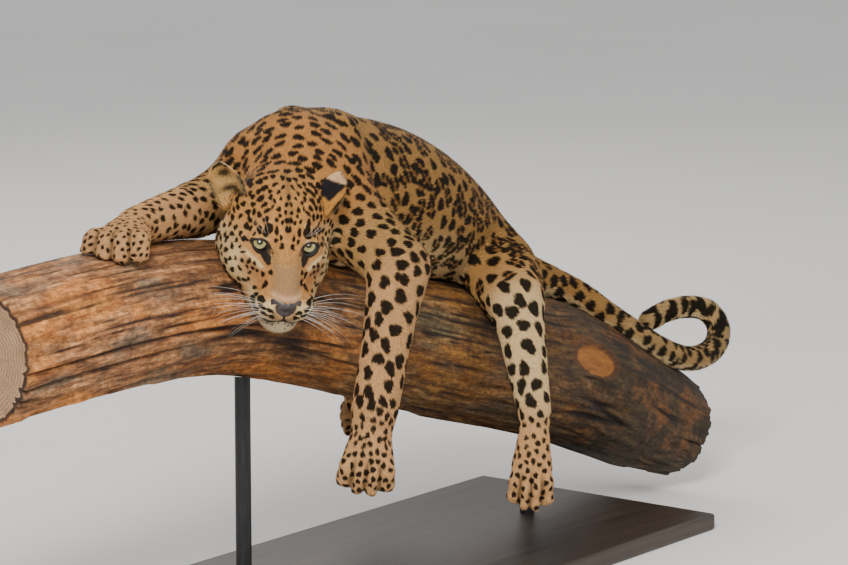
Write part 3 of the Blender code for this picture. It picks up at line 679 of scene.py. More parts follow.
# Marks drawn on one side of the face and mirrored, in millimetres as seen from the front and above:
# across and up from between the eyes, length, width, and lean from upright in degrees
FACE_MARKS = (
    (-9, -121, 3.0, 2.4, 0), (-19, -124, 3.4, 2.2, 20), (-27, -121, 2.8, 2.0, 30), (-14, -128, 2.6, 2.0, 0),
    (-25, 25, 21.5, 12.7, 12), (-38, 25, 12.7, 7.4, -8), (-11, 23, 13.5, 6.1, 4),
    (-4, 12, 10.2, 4.1, 0), (-12, 8, 7.4, 5.3, 0), (-28, 41, 10.6, 7.8, 50), (-26, 55, 12.4, 5.8, 62),
    (-31, 64, 11.5, 6.0, 58), (-37, 74, 15.0, 7.0, 58), (-50, 77, 8.6, 6.5, 30),
    (-21, 76, 9.4, 5.7, 10), (-57, 53, 9.4, 7, 30), (-47, 53, 10.6, 5.7, 15), (-69, 47, 8.6, 5.3, 40),
    (-59, 31, 11.5, 7.8, 20), (-52, 28, 9.8, 5.3, 35), (-77, 29, 9.4, 5.3, 12),
    (-86, 34, 8.6, 4.5, 20), (-69, 20, 8.6, 6.5, 0), (-8, 57, 8.6, 6.5, 0), (-15, 70, 7.8, 4.5, -30),
    (5, 39, 10.2, 5.3, 0), (5, 25, 10.6, 5.3, 0), (-2, 36, 8.2, 4.1, 0), (-11, 40, 7.4, 4.9, -30),
    (-46, 19, 7.8, 4.5, 0), (-94, 18, 11.5, 4.5, 25), (-91, 11, 12.7, 4.9, 28),
    (-101, 13, 10.6, 3.7, 8), (-100, -1, 10.2, 5.7, 4), (-92, -6, 9.8, 7, 8), (-82, 0, 13.9, 4.9, 0),
    (-75, 9, 9.8, 4.9, 8), (-69, -1, 6.5, 4.5, 0), (-105, -19, 12.7, 6.1, -22),
    (-92, -23, 11.9, 5.3, -18), (-85, -20, 7, 6.5, 0), (-99, -12, 7.4, 4.5, 0),
    (-76, -19, 7.8, 4.5, 0), (-65, -10, 9.8, 4.1, 78), (-66, -23, 8.6, 6.1, 0),
    (-55, -24, 12.3, 6.1, 25), (-58, -32, 6.5, 5.3, 0), (-46, -27, 7.8, 5.3, 0),
    (-49, -35, 7.4, 5.7, 0), (-54, -42, 7.8, 4.5, 60), (-42, -39, 6.5, 4.5, 0),
    (-70, -35, 11, 4.5, -38), (-82, -37, 9.8, 7, -28), (-63, -53, 11, 5.3, -68),
    (-56, -52, 7.8, 5.3, 0), (-72, -51, 9, 4.9, -38), (-46, -65, 8.6, 6.5, -60),
    (-29, -61, 12.7, 6.5, 18), (-46, -78, 7.4, 5.3, 0), (-35, -83, 12.7, 5.3, -58),
    (-3, -2, 8.2, 6.5, 0), (14, 0, 6.1, 4.5, 0), (-40, 85, 10.2, 5.7, 60), (-55, 101, 14.3, 9, 60),
    (-54, 83, 7.4, 5.3, 0), (-22, 85, 8.2, 4.9, 40), (-9, 84, 7.4, 4.9, 30), (-5, 74, 6.1, 4.1, 0),
    (-32, 90, 16.4, 6.1, 70), (-40, 101, 14.3, 6.5, 65), (-49, -83, 13.1, 3.1, -48),
    (-34, -95, 14.7, 3.1, -58), (-21, -102, 11.9, 2.7, -66), (-44, -97, 11.9, 2.7, -50),
    (-31, -106, 13.5, 2.7, -62), (-19, -111, 10.6, 2.5, -72), (-40, -107, 8.2, 2.3, -55),
    (3, 52, 7.5, 4.4, 0), (-6, 47, 7.0, 4.2, 10), (4, 64, 8.0, 4.4, 10), (7, 76, 8.0, 5.0, 0),
    (-2, 92, 8.0, 4.6, 20), (-15, 96, 10.0, 5.0, 40), (-18, 61, 7.0, 4.2, 30),
    (-69, 82, 12.3, 7, 50), (-75, 74, 10.2, 6.1, 45), (-65, 66, 10.2, 6.1, 40),
)


# Where the forehead, the chin and the cheek are, and how much longer and wider their marks are drawn
FOREHEAD_RISE, CHIN_RISE, CHEEK_ACROSS = 28, (-120, -74), -40
FOREHEAD_SCALE, CHIN_SCALE, CHEEK_SCALE = (0.98, 1.04), (1.0, 1.95), (0.90, 0.88)


def mark_scale(across, rise):
    """How much longer and wider a mark is drawn than its measures."""
    if rise > FOREHEAD_RISE:
        return FOREHEAD_SCALE
    if CHIN_RISE[0] < rise < CHIN_RISE[1]:
        return CHIN_SCALE
    return CHEEK_SCALE if across < CHEEK_ACROSS else (1.0, 1.0)


def face_marks(spots, rng):
    """The drawn marks of both sides of the face, cast onto the skin along the main view."""
    for side in (-1, 1):
        flip = np.array([1.0, -side, 1.0])
        right, up, out = SEEN_RIGHT * flip, SEEN_UP * flip, SEEN_OUT * flip
        for across, rise, length, width, lean in FACE_MARKS:
            shift = rng.normal(0.0, 0.5 if side > 0 else 0.1, 2)
            longer, wider = mark_scale(across, rise)
            start = right * (across + shift[0]) / 1000 + up * (rise + shift[1]) / 1000 + out * 0.3
            hit, normal, _, _ = FACE_TREE["skin"].ray_cast(Vector(from_head(start)), Vector(HEAD_AXES @ -out))
            if hit is None:
                continue
            normal = np.array(normal)
            facing = max(float(normal @ (HEAD_AXES @ out)), 0.45)
            turn = math.radians(lean)
            halves = []
            for way, size in ((right * math.sin(turn) + up * math.cos(turn), length * longer * 1.10),
                              (right * math.cos(turn) - up * math.sin(turn), width * wider * 1.25)):
                way = HEAD_AXES @ way
                flat = way - (HEAD_AXES @ out) * (way @ normal) / facing
                halves.append((unit(flat), min(np.linalg.norm(flat), 1.8) * size / 2000))
            (along, half_length), (_, half_width) = halves
            spots.add(np.array(hit), along, normal, half_length, half_width, 0.0, rng.uniform(0, math.tau, 4))


# Search tree of the skin, set once the skin is made
FACE_TREE = {}


def on_face(y, z):
    """Place and normal of the skin at a place left and up of between the eyes, or None beside the head."""
    start = from_head(np.array([FACE_CLEARANCE, y, z]))
    hit, normal, _, _ = FACE_TREE["skin"].ray_cast(Vector(start), Vector(HEAD_BACK))
    return hit, normal


def bar(across, up, start, end, radius):
    """1 on a line in the view of the face, fading over its radius."""
    start, end = np.array(start, float), np.array(end, float)
    way = end - start
    share = ((across - start[0]) * way[0] + (up - start[1]) * way[1]) / (way @ way)
    share = np.clip(share, 0.0, 1.0)
    far = np.hypot(across - start[0] - share * way[0], up - start[1] - share * way[1])
    return np.exp(-(far / radius) ** 2)


def ground_colours(skin, part):
    """Colour of the coat between its spots."""
    corners, normals, edges = corners_of(skin.data), normals_of(skin.data), edges_of(skin.data)
    colour = spread(np.array([GROUNDS[kind_of(n)] for n in FLESH])[part], edges, 110)
    trunk = members(part, ("torso", "hindleg_left_thigh", "hindleg_right_thigh"))
    under = step(-0.15, -0.75, normals[:, 2]) * (0.85 * members(part, TAIL_NODES) + 0.60 * trunk)
    colour = mix(colour, CREAM, under[:, None])
    # Painted shade in the grooves between the toes
    colour = mix(colour, BRIDGE * 0.20, (0.75 * toe_gaps(corners))[:, None])
    local = to_head(corners)
    x, y, z = local[:, 0], np.abs(local[:, 1]), local[:, 2]
    across, up = seen(local)
    head = spread((members(part, ("head",)) & (x > -0.10)).astype(float), edges, 20)
    flecks = np.zeros(len(corners))
    flecks[head > 0.02] = noise_at(corners[head > 0.02], 170.0, 4.0)
    colour = colour * (1.0 + 0.30 * flecks * head)[:, None]
    face = step(-0.02, 0.0, x)
    pads = step(0.030, 0.050, x) * step(-0.044, -0.056, z) * step(0.014, 0.022, y)
    over_nose = np.exp(-((z + 0.0405) / 0.0035) ** 2) * step(0.026, 0.020, y) * (x > 0.05)
    chin = step(-0.01, 0.02, x) * step(-0.088, -0.098, z)
    # Band along the lips, for the painted shade under the upper lip
    lip = step(0.0085, 0.0045, reach(local, LIPS, flat=True))
    throat = step(-0.070, -0.095, z) * step(0.02, -0.02, x)
    for tone, share in (
        (BRIDGE * 0.40, 0.50 * np.exp(-(y / 0.0050) ** 2) * step(0.008, 0.035, z)),
        (CREAM, 0.75 * step(0.052, 0.080, y) * step(0.02, -0.02, z)),
        (PEACH, 0.60 * bar(across, up, (-58, 24), (-44, 22), 9)),
        (CREAM, 0.55 * bar(across, up, (-75, -20), (-62, -60), 13)),
        (BRIDGE, step(0.026, 0.017, y) * step(0.008, -0.014, z) * face),
        (BRIDGE * 0.55 + RUSSET * 0.45, 0.8 * bar(across, up, (-56, -28), (-48, -36), 15) * face),
        (RUSSET, 0.6 * bar(across, up, (-38, -46), (-30, -62), 9) * face),
        (CREAM * 1.05, 0.90 * bar(across, up, (-58, -11), (-34, -34), 3.6) * face),
        (CREAM, 0.85 * bar(across, up, (-28, 10), (-21, -22), 3.2) * face),
        (CREAM, 0.75 * bar(across, up, (-20, 34), (-26, 14), 2.4) * face),
        (CREAM * 1.08, 0.90 * pads),
        (WHITE, 0.75 * step(0.010, 0.030, x) * step(-0.078, -0.090, z)),
        (NOSE_EDGE, 0.9 * over_nose),
        (WHITE * np.array([0.85, 0.78, 0.66]), chin),
        # Painted shade under the upper lip: a greyer band on the chin along the lip line
        (SLATE * 2.0, 0.5 * chin * lip),
        (WHITE, 0.75 * throat),
    ):
        colour = mix(colour, tone, (np.clip(share, 0, 1) * head)[:, None])
    return colour


def dark_face(points):
    """How dark the eye rims, the tear marks and the lips make each place."""
    local = to_head(points)
    across, up = seen(local)
    front = local[:, 0] > -0.03
    tear = bar(across, up, (-32, -9), (-26, -20), 7.2)
    tear = np.maximum(tear, 0.9 * bar(across, up, (-26, -20), (-24, -27), 4.6))
    shares = [
        step(0.34, 0.50, tear) * front,
        step(0.30, 0.55, bar(across, up, (-57, 9), (-67, 13), 2.6)) * front,
        step(0.0040, 0.0022, reach(local, LIPS, flat=True)) * (local[:, 0] > 0.01),
        step(0.0024, 0.0012, reach(local, PHILTRUM, flat=True)) * (local[:, 0] > 0.05),
    ]
    for side in SIDES.values():
        rel = to_eye(local, side)
        near = (rel[:, 0] > 0.0) & (np.linalg.norm(rel, axis=1) < 0.034)
        shares.append(step(1.42, 1.30, almond(rel[:, 1], rel[:, 2])) * near)
    return np.clip(np.max(shares, axis=0), 0, 1)


def markings(points, ground, spots):
    """Colour of the coat at each place."""
    dark, heart = spots.cover(points)
    near = np.linalg.norm(to_head(points), axis=1) < 0.16
    face = np.zeros(len(points))
    face[near] = dark_face(points[near])
    for tone, share in ((ROSETTE_HEART, 0.70 * heart), (SPOT, 0.97 * dark), (SLATE * 0.6, 0.97 * face)):
        ground = mix(ground, tone, share[:, None])
    return ground


def colour_mesh(mesh, colours):
    layer = mesh.color_attributes.new(name="markings", type="FLOAT_COLOR", domain="POINT")
    write_rows(layer.data, "color", np.hstack([colours, np.ones((len(colours), 1))]))


# Coat

def unwrap(item):
    """UV of each face corner on an unwrap of a piece's own shape."""
    bpy.ops.object.select_all(action="DESELECT")
    item.select_set(True)
    bpy.context.view_layer.objects.active = item
    bpy.ops.object.mode_set(mode="EDIT")
    bpy.ops.mesh.select_all(action="SELECT")
    bpy.ops.uv.smart_project(angle_limit=math.radians(66), island_margin=0.002)
    bpy.ops.object.mode_set(mode="OBJECT")
    return read_rows(item.data.uv_layers.active.data, "uv", 2)


WOOD_CLEARANCE = 0.0015
TUFT_PATCH = 0.003
PATCH_SHAPE = np.array([[-0.5, -0.5], [0.5, -0.5], [-0.5, 0.5], [0.5, 0.5]]) * TUFT_PATCH
TUFT_FACES = np.array([[0, 3, 1], [0, 2, 3], [1, 3, 2], [0, 1, 2]])
# Painted shade and light along a tuft: the brightness of its two root corners, of its back and of its tip,
# darkest at the root deep in the coat and brightest at the tip
TUFT_PAINTED_SHADES = np.array([0.66, 0.66, 0.84, 1.08])


def tuft_tips(roots, normals, lie, lengths, lifts):
    """Ends of tufts that lean along the coat and stand up by their lifts."""
    flat = np.sqrt(np.maximum(lengths ** 2 - lifts ** 2, 1e-9))
    return roots + lie * flat[:, None] + normals * lifts[:, None]


def build_tufts(name, roots, normals, lie, lengths, widths, lifts, colours, uvs, material, slot):
    """Thin three-sided tufts, closed at the root and drawn to a tip."""
    count = len(roots)
    side = unit(np.cross(normals, lie))
    base = roots - normals * (0.35 * widths)[:, None]
    tip = tuft_tips(roots, normals, lie, lengths, lifts)
    half = side * (widths / 2)[:, None]
    corners = np.stack([base + half, base - half, base + normals * (0.55 * widths)[:, None], tip], axis=1)
    mesh = bpy.data.meshes.new(name)
    mesh.vertices.add(4 * count)
    write_rows(mesh.vertices, "co", corners)
    mesh.loops.add(12 * count)
    write_rows(mesh.loops, "vertex_index", np.arange(count)[:, None, None] * 4 + TUFT_FACES, np.int32)
    mesh.polygons.add(4 * count)
    write_rows(mesh.polygons, "loop_start", np.arange(0, 12 * count, 3), np.int32)
    mesh.update(calc_edges=True)
    # Tuft colours darkened by painted shade at the root and lightened by painted light at the tip
    colour_mesh(mesh, (colours[:, None, :] * TUFT_PAINTED_SHADES[None, :, None]).reshape(-1, 3))
    layer = mesh.uv_layers.new(name="OFBake")
    write_rows(layer.data, "uv", uvs[:, None, None, :] + PATCH_SHAPE[TUFT_FACES])
    mesh.shade_smooth()
    item = new_object(name, mesh)
    mesh.materials.append(material)
    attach(item, "root")


class Draw:
    """Places drawn evenly by weight over some of a mesh's triangles."""

    def __init__(self, mesh, chosen, weights, count, rng):
        triangles, self.loops = triangles_of(mesh)
        steps = np.cumsum(weights)
        drawn = (np.arange(count) + rng.random(count)) / count * steps[-1]
        self.faces = chosen[np.searchsorted(steps, drawn).clip(0, len(weights) - 1)]
        a, b = rng.random(count), rng.random(count)
        over = a + b > 1
        a[over], b[over] = 1 - a[over], 1 - b[over]
        self.shares = np.stack([1 - a - b, a, b], axis=1)
        self.ring = triangles[self.faces]

    def keep(self, wanted):
        """Leaves out the places that aren't wanted."""
        self.faces, self.shares, self.ring = self.faces[wanted], self.shares[wanted], self.ring[wanted]

    def carried(self, values):
        """What the corners' values come to at each place."""
        return np.einsum("nk,nk...->n...", self.shares, values[self.ring])

    def uv(self, values):
        """What the face corners' values come to at each place."""
        return np.einsum("nk,nkd->nd", self.shares, values[self.loops[self.faces]])


PIECE_TUFTS = 48000
COAT_GROUPS = {
    "coat_head": ("head",),
    "coat_neck": ("neck",),
    "coat_torso": ("torso",),
    "coat_forelegs": FORELEG_NODES,
    "coat_hindlegs": HINDLEG_NODES,
    "coat_tail": TAIL_NODES,
}


def make_coat(skin, part, measures, lie, ground, spots, uvs, material, rng):
    """Tufts all over the skin, in pieces by part of the body."""
    corners, normals = corners_of(skin.data), normals_of(skin.data)
    triangles, _ = triangles_of(skin.data)
    density = measures[triangles, 3].mean(axis=1) * 1000.0
    local = to_head(corners[triangles].mean(axis=1))
    near = np.linalg.norm(local, axis=1) < 0.15
    density[near] *= 1.0 - 0.999 * bare_skin(local[near])
    weights = areas_of(corners, triangles) * density
    branch = BVHTree.FromObject(NODES["branch"], bpy.context.evaluated_depsgraph_get())
    for name, group in COAT_GROUPS.items():
        chosen = np.nonzero(members(part, group)[triangles[:, 0]])[0]
        draw = Draw(skin.data, chosen, weights[chosen], int(weights[chosen].sum()), rng)
        hits = map(branch.find_nearest, map(Vector, draw.carried(corners)))
        draw.keep(np.array([(hit[3] or 1.0) > WOOD_CLEARANCE for hit in hits]))
        roots, up, size = draw.carried(corners), unit(draw.carried(normals)), draw.carried(measures)
        count = len(roots)
        way = along_surface(draw.carried(lie), up)
        way = unit(way + np.cross(up, way) * rng.normal(0.0, 0.16, count)[:, None])
        lengths = size[:, 1] * rng.uniform(0.75, 1.25, count)
        lifts = size[:, 0] * rng.uniform(0.35, 0.95, count)
        widths = size[:, 2] * rng.uniform(0.8, 1.2, count)
        shown = mix(roots, tuft_tips(roots, up, way, lengths, lifts), 0.6)
        colours = markings(shown, draw.carried(ground), spots) * rng.uniform(0.84, 1.18, (count, 1))
        rows = (roots, up, way, lengths, widths, lifts, colours, draw.uv(uvs))
        pieces = max(1, math.ceil(count / PIECE_TUFTS))
        for k in range(pieces):
            pick = slice(k * count // pieces, (k + 1) * count // pieces)
            label = name if pieces == 1 else f"{name}_{k + 1}"
            build_tufts(label, *(row[pick] for row in rows), material, "coat")


def bare_skin(local):
    """Where no tuft grows: the eyes, the nose's leather and the lips."""
    front = local[:, 0]
    shares = [step(1.1, 0.95, nose_share(local[:, 1], local[:, 2])) * (front > 0.05),
              step(0.0034, 0.0020, reach(local, LIPS, flat=True)) * (front > 0.0)]
    for side in SIDES.values():
        rel = to_eye(local, side)
        shares.append(step(1.30, 1.15, almond(rel[:, 1], rel[:, 2])) * (rel[:, 0] > 0.0))
    return np.max(shares, axis=0)


# Nose

# Half of the nose's outline, left and up of its middle: broad wings above, narrow below
NOSE_OUTLINE = ((0.0, 0.0118), (0.0110, 0.0126), (0.0200, 0.0138), (0.0250, 0.0112), (0.0238, 0.0050),
                (0.0175, -0.0040), (0.0105, -0.0095), (0.0045, -0.0135), (0.0, -0.0142))
NOSE_RINGS = 16
NOSE_TURNS = 64


def nose_outline(angle):
    """Half size of the nose's leather in a direction seen from the front."""
    y, z = np.array(NOSE_OUTLINE).T
    turns = np.arctan2(z, y)
    folded = math.atan2(math.sin(angle), abs(math.cos(angle)))
    return float(np.interp(-folded, -turns, np.hypot(y, z)))


def nose_share(y, z):
    """1 on the outline of the nose's leather, less inside it."""
    turns = np.linspace(-math.pi, math.pi, 181)
    outline = np.array([nose_outline(a) for a in turns])
    return np.hypot(y, z - NOSE_MIDDLE) / np.interp(np.arctan2(z - NOSE_MIDDLE, y), turns, outline)


def make_nose(material):
    """The nose's leather, set on the front of the muzzle, with its nostrils pressed in."""
    outer = []
    for i, j in itertools.product(range(NOSE_RINGS + 1), range(NOSE_TURNS)):
        angle = -math.pi + math.tau * j / NOSE_TURNS
        half = nose_outline(angle) * i / NOSE_RINGS
        y, high = half * math.cos(angle), half * math.sin(angle)
        hit, _ = on_face(y, NOSE_MIDDLE + high)
        puff = 0.0024 * (1.0 - (i / NOSE_RINGS) ** 6) + 0.0002
        curl = abs(y) - 0.0150 - 0.0040 * math.sin(min(max((0.009 - high) / 0.014, 0.0), 1.0) * math.pi)
        pit = math.exp(-(curl / 0.0022) ** 2 - ((high - 0.0020) / 0.0062) ** 2)
        split = math.exp(-(y / 0.0009) ** 2) * max(0.0, min(1.0, -high / 0.006 + 0.6))
        x = to_head(np.array(hit))[0] + puff - 0.0070 * pit - 0.0014 * split
        outer.append((x, y, NOSE_MIDDLE + high))
    outer = np.array(outer)
    rim = outer[-NOSE_TURNS:] - np.array([0.006, 0.0, 0.0])
    corners = from_head(np.vstack([outer, rim, rim.mean(axis=0)]))
    faces = ring_faces(NOSE_RINGS + 2, NOSE_TURNS)
    faces += fan_faces((NOSE_RINGS + 1) * NOSE_TURNS, NOSE_TURNS, len(corners) - 1)
    mesh = mesh_from("nose", corners, faces)
    face_outwards(mesh, merge=1e-6)
    mesh.shade_smooth()
    item = new_object("nose_leather", mesh)
    mesh.materials.append(material)
    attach(item, "root")


# Hair strands

HAIR_SIDES = 5
WHISKER_RADIUS = 0.00019
WHISKER_SINK = 0.002
BROW_HAIR = 0.042
BROW_RADIUS = 0.00018


def spokes(side, top, sides):
    """Directions round each place of a line, in even turns from its side."""
    turns = np.linspace(0, math.tau, sides, endpoint=False)
    return np.cos(turns)[None, :, None] * side[:, None] + np.sin(turns)[None, :, None] * top[:, None]


def tube(points, radii, sides):
    """Corners and faces of a closed tapered tube through places."""
    points = np.array(points)
    ahead = unit(np.gradient(points, axis=0))
    helper = np.array([0.0, 0.0, 1.0]) if abs(ahead[0][2]) < 0.9 else np.array([1.0, 0.0, 0.0])
    side = unit(np.cross(ahead, helper))
    rings = points[:, None] + np.array(radii)[:, None, None] * spokes(side, np.cross(side, ahead), sides)
    last = (len(points) - 1) * sides
    ends = [tuple(range(sides))[::-1], tuple(range(last, last + sides))]
    return rings.reshape(-1, 3), ring_faces(len(points), sides) + ends


def join_tubes(name, tubes, material):
    """One piece from many tubes."""
    corners, faces, start = [], [], 0
    for places, joined in tubes:
        corners.append(places)
        faces.extend(tuple(start + k for k in face) for face in joined)
        start += len(places)
    mesh = mesh_from(name, np.vstack(corners), faces)
    face_outwards(mesh)
    mesh.shade_smooth()
    item = new_object(name, mesh)
    mesh.materials.append(material)
    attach(item, "root")


def strand(root, way, droop, length, thick, steps=10):
    """A hair that leaves its root along a direction and bends towards another."""
    points = [np.array(root, float)]
    way, droop = unit(np.array(way, float)), np.array(droop, float)
    for _ in range(steps):
        way = unit(way + droop / steps)
        points.append(points[-1] + way * length / steps)
    radii = thick * (1.0 - np.linspace(0, 1, steps + 1) ** 1.5 * 0.88)
    return points, radii


def make_whiskers(material, rng):
    """Whiskers in rows on both sides of the muzzle, and a few over the eyes."""
    tubes = []
    for side in SIDES.values():
        for row in range(4):
            for k in range(5 - row // 2):
                hit, _ = on_face(side * (0.026 + 0.0050 * k), -0.0600 - 0.0066 * row + 0.0012 * k)
                if hit is None:
                    continue
                rise = 0.30 - 0.20 * row + rng.normal(0, 0.09)
                way = HEAD_AXES @ np.array([0.20 - 0.12 * k, side, rise])
                droop = HEAD_AXES @ np.array([-0.50, 0.0, -0.10]) + np.array([0, 0, -0.75])
                length = (0.070 + 0.014 * k) * rng.uniform(0.75, 1.20)
                root = np.array(hit) + HEAD_BACK * WHISKER_SINK
                tubes.append(tube(*strand(root, way, droop, length, WHISKER_RADIUS), HAIR_SIDES))
        for k in range(3):
            hit, _ = on_face(side * (0.030 + 0.004 * k), 0.024)
            if hit is not None:
                way = HEAD_AXES @ np.array([0.5, side * (0.3 + 0.2 * k), 0.9])
                droop = HEAD_AXES @ np.array([-0.9, 0.0, -0.2])
                tubes.append(tube(*strand(hit, way, droop, BROW_HAIR, BROW_RADIUS), HAIR_SIDES))
    join_tubes("whiskers", tubes, material)


def make_eye_rims(material):
    """Dark lid margins round both eye openings."""
    tubes = []
    far = EYE_RADIUS + 0.0010
    for side in SIDES.values():
        points = []
        for a in np.linspace(0.0, math.tau, RIM_STEPS + 1):
            along = math.cos(a) * EYE_OPENING[0] / 2
            up = math.sin(a) * EYE_OPENING[1] / 2 * (1.0 - 0.35 * math.cos(a) ** 2)
            depth = math.sqrt(max(far ** 2 - along ** 2 - up ** 2, 1e-8))
            points.append(from_head(from_eye(np.array([depth, along, up]), side)))
        tubes.append(tube(points, np.full(RIM_STEPS + 1, RIM_THICKNESS / 2), 8))
    join_tubes("eye_rims", tubes, material)


def make_lips(material):
    """The dark edge of the lips, just proud of the groove between them."""
    hits = [on_face(y, z) for y, z in LIPS[6:-6, 1:]]
    points = [np.array(hit) - np.array(normal) * 0.0004 for hit, normal in hits if hit is not None]
    radii = 0.0022 * np.sin(np.linspace(0.25, math.pi - 0.25, len(points))) ** 0.5
    join_tubes("lips", [tube(points, radii, 8)], material)


# Eyes

# Half angle of the iris, how far the cornea bulges, and how far over the viewer the eyes look
IRIS_ANGLE = math.asin(0.0104 / 0.0155)
CORNEA_BULGE = 0.0009
GAZE_RISE = Vector((0.0, 0.0, 1.3))


def make_eyes(material, target):
    """Eyeballs that look at a place, with a bulging cornea and their rings marked."""
    for name, place in EYES.items():
        gaze = (target - place).normalized()
        turn = gaze.to_track_quat("Z", "Y").to_matrix()
        mesh = bpy.data.meshes.new(f"eyeball_{name}")
        with form_of(mesh) as form:
            bmesh.ops.create_uvsphere(form, u_segments=64, v_segments=64, radius=1.0)
        corners = corners_of(mesh)
        angle = np.arccos(np.clip(corners[:, 2], -1, 1))
        bulge = CORNEA_BULGE * np.clip(1.0 - (angle / (IRIS_ANGLE * 1.1)) ** 2, 0, 1) ** 0.8
        marks = mesh.attributes.new("iris", "FLOAT_VECTOR", "POINT")
        values = np.hstack([unit(corners[:, :2] + 1e-9), angle[:, None] / IRIS_ANGLE])
        write_rows(marks.data, "vector", values)
        corners = corners * (EYE_RADIUS + bulge)[:, None]
        set_corners(mesh, corners @ np.array(turn).T + np.array(place))
        mesh.shade_smooth()
        item = new_object(f"eyeball_{name}", mesh)
        mesh.materials.append(material)
        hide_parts(f"eye_{name}")
        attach(item, "root")


# Ears

EAR_PLACES = {"left": (-0.070, 0.064, 0.039), "right": (-0.070, -0.080, 0.037)}
EAR_LEAN = {"left": 0.62, "right": 0.60}
EAR_TURN = {"left": 1.9, "right": 0.45}
EAR_LENGTH = 0.060
EAR_HALF_WIDTH = 0.029
EAR_TUFTS = 6000
EAR_SINK = 0.0008
EAR_TIP = linear(226, 186, 142)
EAR_INNER = linear(216, 168, 100)


def ear_frame(name):
    """Axes and foot of an ear: out of its hollow, across it and up."""
    side = SIDES[name]
    turn = Matrix.Rotation(side * -EAR_LEAN[name], 4, "X") @ Matrix.Rotation(side * EAR_TURN[name], 4, "Z")
    placed = HEAD @ Matrix.Translation(EAR_PLACES[name]) @ turn
    return np.array(placed.to_3x3()), np.array(placed.translation)


def ear_colours(name, points, facing):
    """Colour of an ear, how far each place is inside it and up it, and how much painted shade darkens its
    hollow there.
    """
    axes, foot = ear_frame(name)
    local, on_head = (points - foot) @ axes, to_head(points)
    aside, rise = on_head @ SEEN_RIGHT * 1000 * SIDES[name], on_head @ SEEN_UP * 1000
    inside = step(-0.1, 0.35, facing @ axes[:, 0])
    up, across = local[:, 2] / EAR_LENGTH, np.abs(local[:, 1]) / EAR_HALF_WIDTH
    patch = step(-2.0, 2.0, rise - 68.0 - 0.9 * np.abs(aside - 68.0))
    tip = step(-1.0, 1.0, rise - 104.0 + 0.32 * (aside - 62.0))
    edge = step(0.76, 0.90, np.maximum(across, up * 0.97))
    outer = mix(GOLD * 0.9, SLATE * 0.8, patch[:, None])
    outer = mix(outer, EAR_TIP, tip[:, None])
    outer = mix(outer, SPOT * 1.5, step(0.84, 0.95, across)[:, None])
    inner = mix(EAR_INNER, GOLD * 0.80, step(0.3, 1.0, across)[:, None])
    inner = mix(inner, SPOT * 1.5, edge[:, None])
    # Painted shade in the ear's cup: a high patch and a low patch, inside only
    high = np.exp(-((up - 0.62) / 0.15) ** 2 - (across / 0.40) ** 2)
    low = np.exp(-((up - 0.12) / 0.09) ** 2 - ((across - 0.1) / 0.50) ** 2)
    hollow = np.clip(1.3 * np.maximum(high, low), 0.0, 0.92) * inside
    return mix(outer, inner, inside[:, None]), inside, up, hollow


def make_ears(skin_material, coat_material, rng):
    """Cupped ears with short hair outside and long pale hair within."""
    for name in SIDES:
        item = new_object(f"ear_shell_{name}", NODES[f"ear_{name}"].data.copy())
        with form_of(item.data) as form:
            bmesh.ops.remove_doubles(form, verts=form.verts, dist=1e-5)
        finer = item.modifiers.new("finer", "SUBSURF")
        finer.levels = finer.render_levels = 2
        apply_modifiers(item)
        mesh = item.data
        set_corners(mesh, corners_of(mesh) - normals_of(mesh) * EAR_SINK)
        corners, normals = corners_of(mesh), normals_of(mesh)
        colours, _, _, hollow = ear_colours(name, corners, normals)
        # Painted shade in the hollow of the ear
        colour_mesh(mesh, mix(colours, SPOT * 2.0, hollow[:, None]))
        mesh.materials.clear()
        mesh.materials.append(skin_material)
        mesh.shade_smooth()
        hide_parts(f"ear_{name}")
        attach(item, "root")
        grow_ear_hair(name, item, corners, normals, coat_material, rng)


def grow_ear_hair(name, item, corners, normals, material, rng):
    """Tufts all over an ear, longer and paler low down inside it."""
    axes, foot = ear_frame(name)
    uvs = unwrap(item)
    triangles, _ = triangles_of(item.data)
    draw = Draw(item.data, np.arange(len(triangles)), areas_of(corners, triangles), EAR_TUFTS, rng)
    roots, up = draw.carried(corners), unit(draw.carried(normals))
    colours, inside, height, hollow = ear_colours(name, roots, up)
    way = along_surface(axes[:, 2] + 0.25 * (roots - foot) / 0.05, up)
    way = unit(way + np.cross(up, way) * rng.normal(0, 0.22, (EAR_TUFTS, 1)))
    long_hair = inside * step(0.9, 0.2, height)
    lengths = mix(0.0050, 0.0130, long_hair) * rng.uniform(0.7, 1.3, EAR_TUFTS)
    lifts = mix(0.0012, 0.0060, long_hair) * rng.uniform(0.5, 1.2, EAR_TUFTS)
    widths = mix(0.00085, 0.00060, long_hair)
    pale = rng.random(EAR_TUFTS) < 0.55
    colours = mix(colours, CREAM, (0.50 * long_hair * pale)[:, None])
    # Painted shade in the ear's hollow; each strand's tone also differs at random
    colours = mix(colours, SPOT * 3.0, hollow[:, None]) * rng.uniform(0.45, 1.3, (EAR_TUFTS, 1))
    build_tufts(f"coat_ear_{name}", roots, up, way, lengths, widths, lifts, colours, draw.uv(uvs),
                material, "coat")


# Branch

BRANCH_KNOTS = ((-1.02, 0.538), (-0.72, 0.548), (-0.47, 0.532), (-0.20, 0.466), (0.10, 0.378),
                (0.40, 0.296), (0.60, 0.222), (0.74, 0.160), (0.86, 0.112))
BRANCH_Y = 0.015
BRANCH_RADIUS = 0.108
BRANCH_RINGS = 520
BRANCH_SIDES = 168
END_RINGS = 10
LONG_CRACK_DEPTH = 0.0085
FINE_CRACK_DEPTH = 0.0028
TORN_DEPTH = 0.004
SHELF_HEIGHT = 0.0045
# Where along the branch the tail lies on it, and how far the wood comes up to it
TAIL_REST = (0.36, 0.42, 0.80, 0.86)
TAIL_REST_RISE = 0.0030
# Bare scar under the tail: its place, its way along and across, and half its length and height
SCAR = np.array([0.4483, -0.1038, 0.3144])
SCAR_AXES = np.array([(0.938, 0.0, -0.347), (0.347, 0.0, 0.938)])
SCAR_HALF = np.array([0.064, 0.026])
SCAR_DEPTH = 0.0060
SCAR_LIP = 0.0030


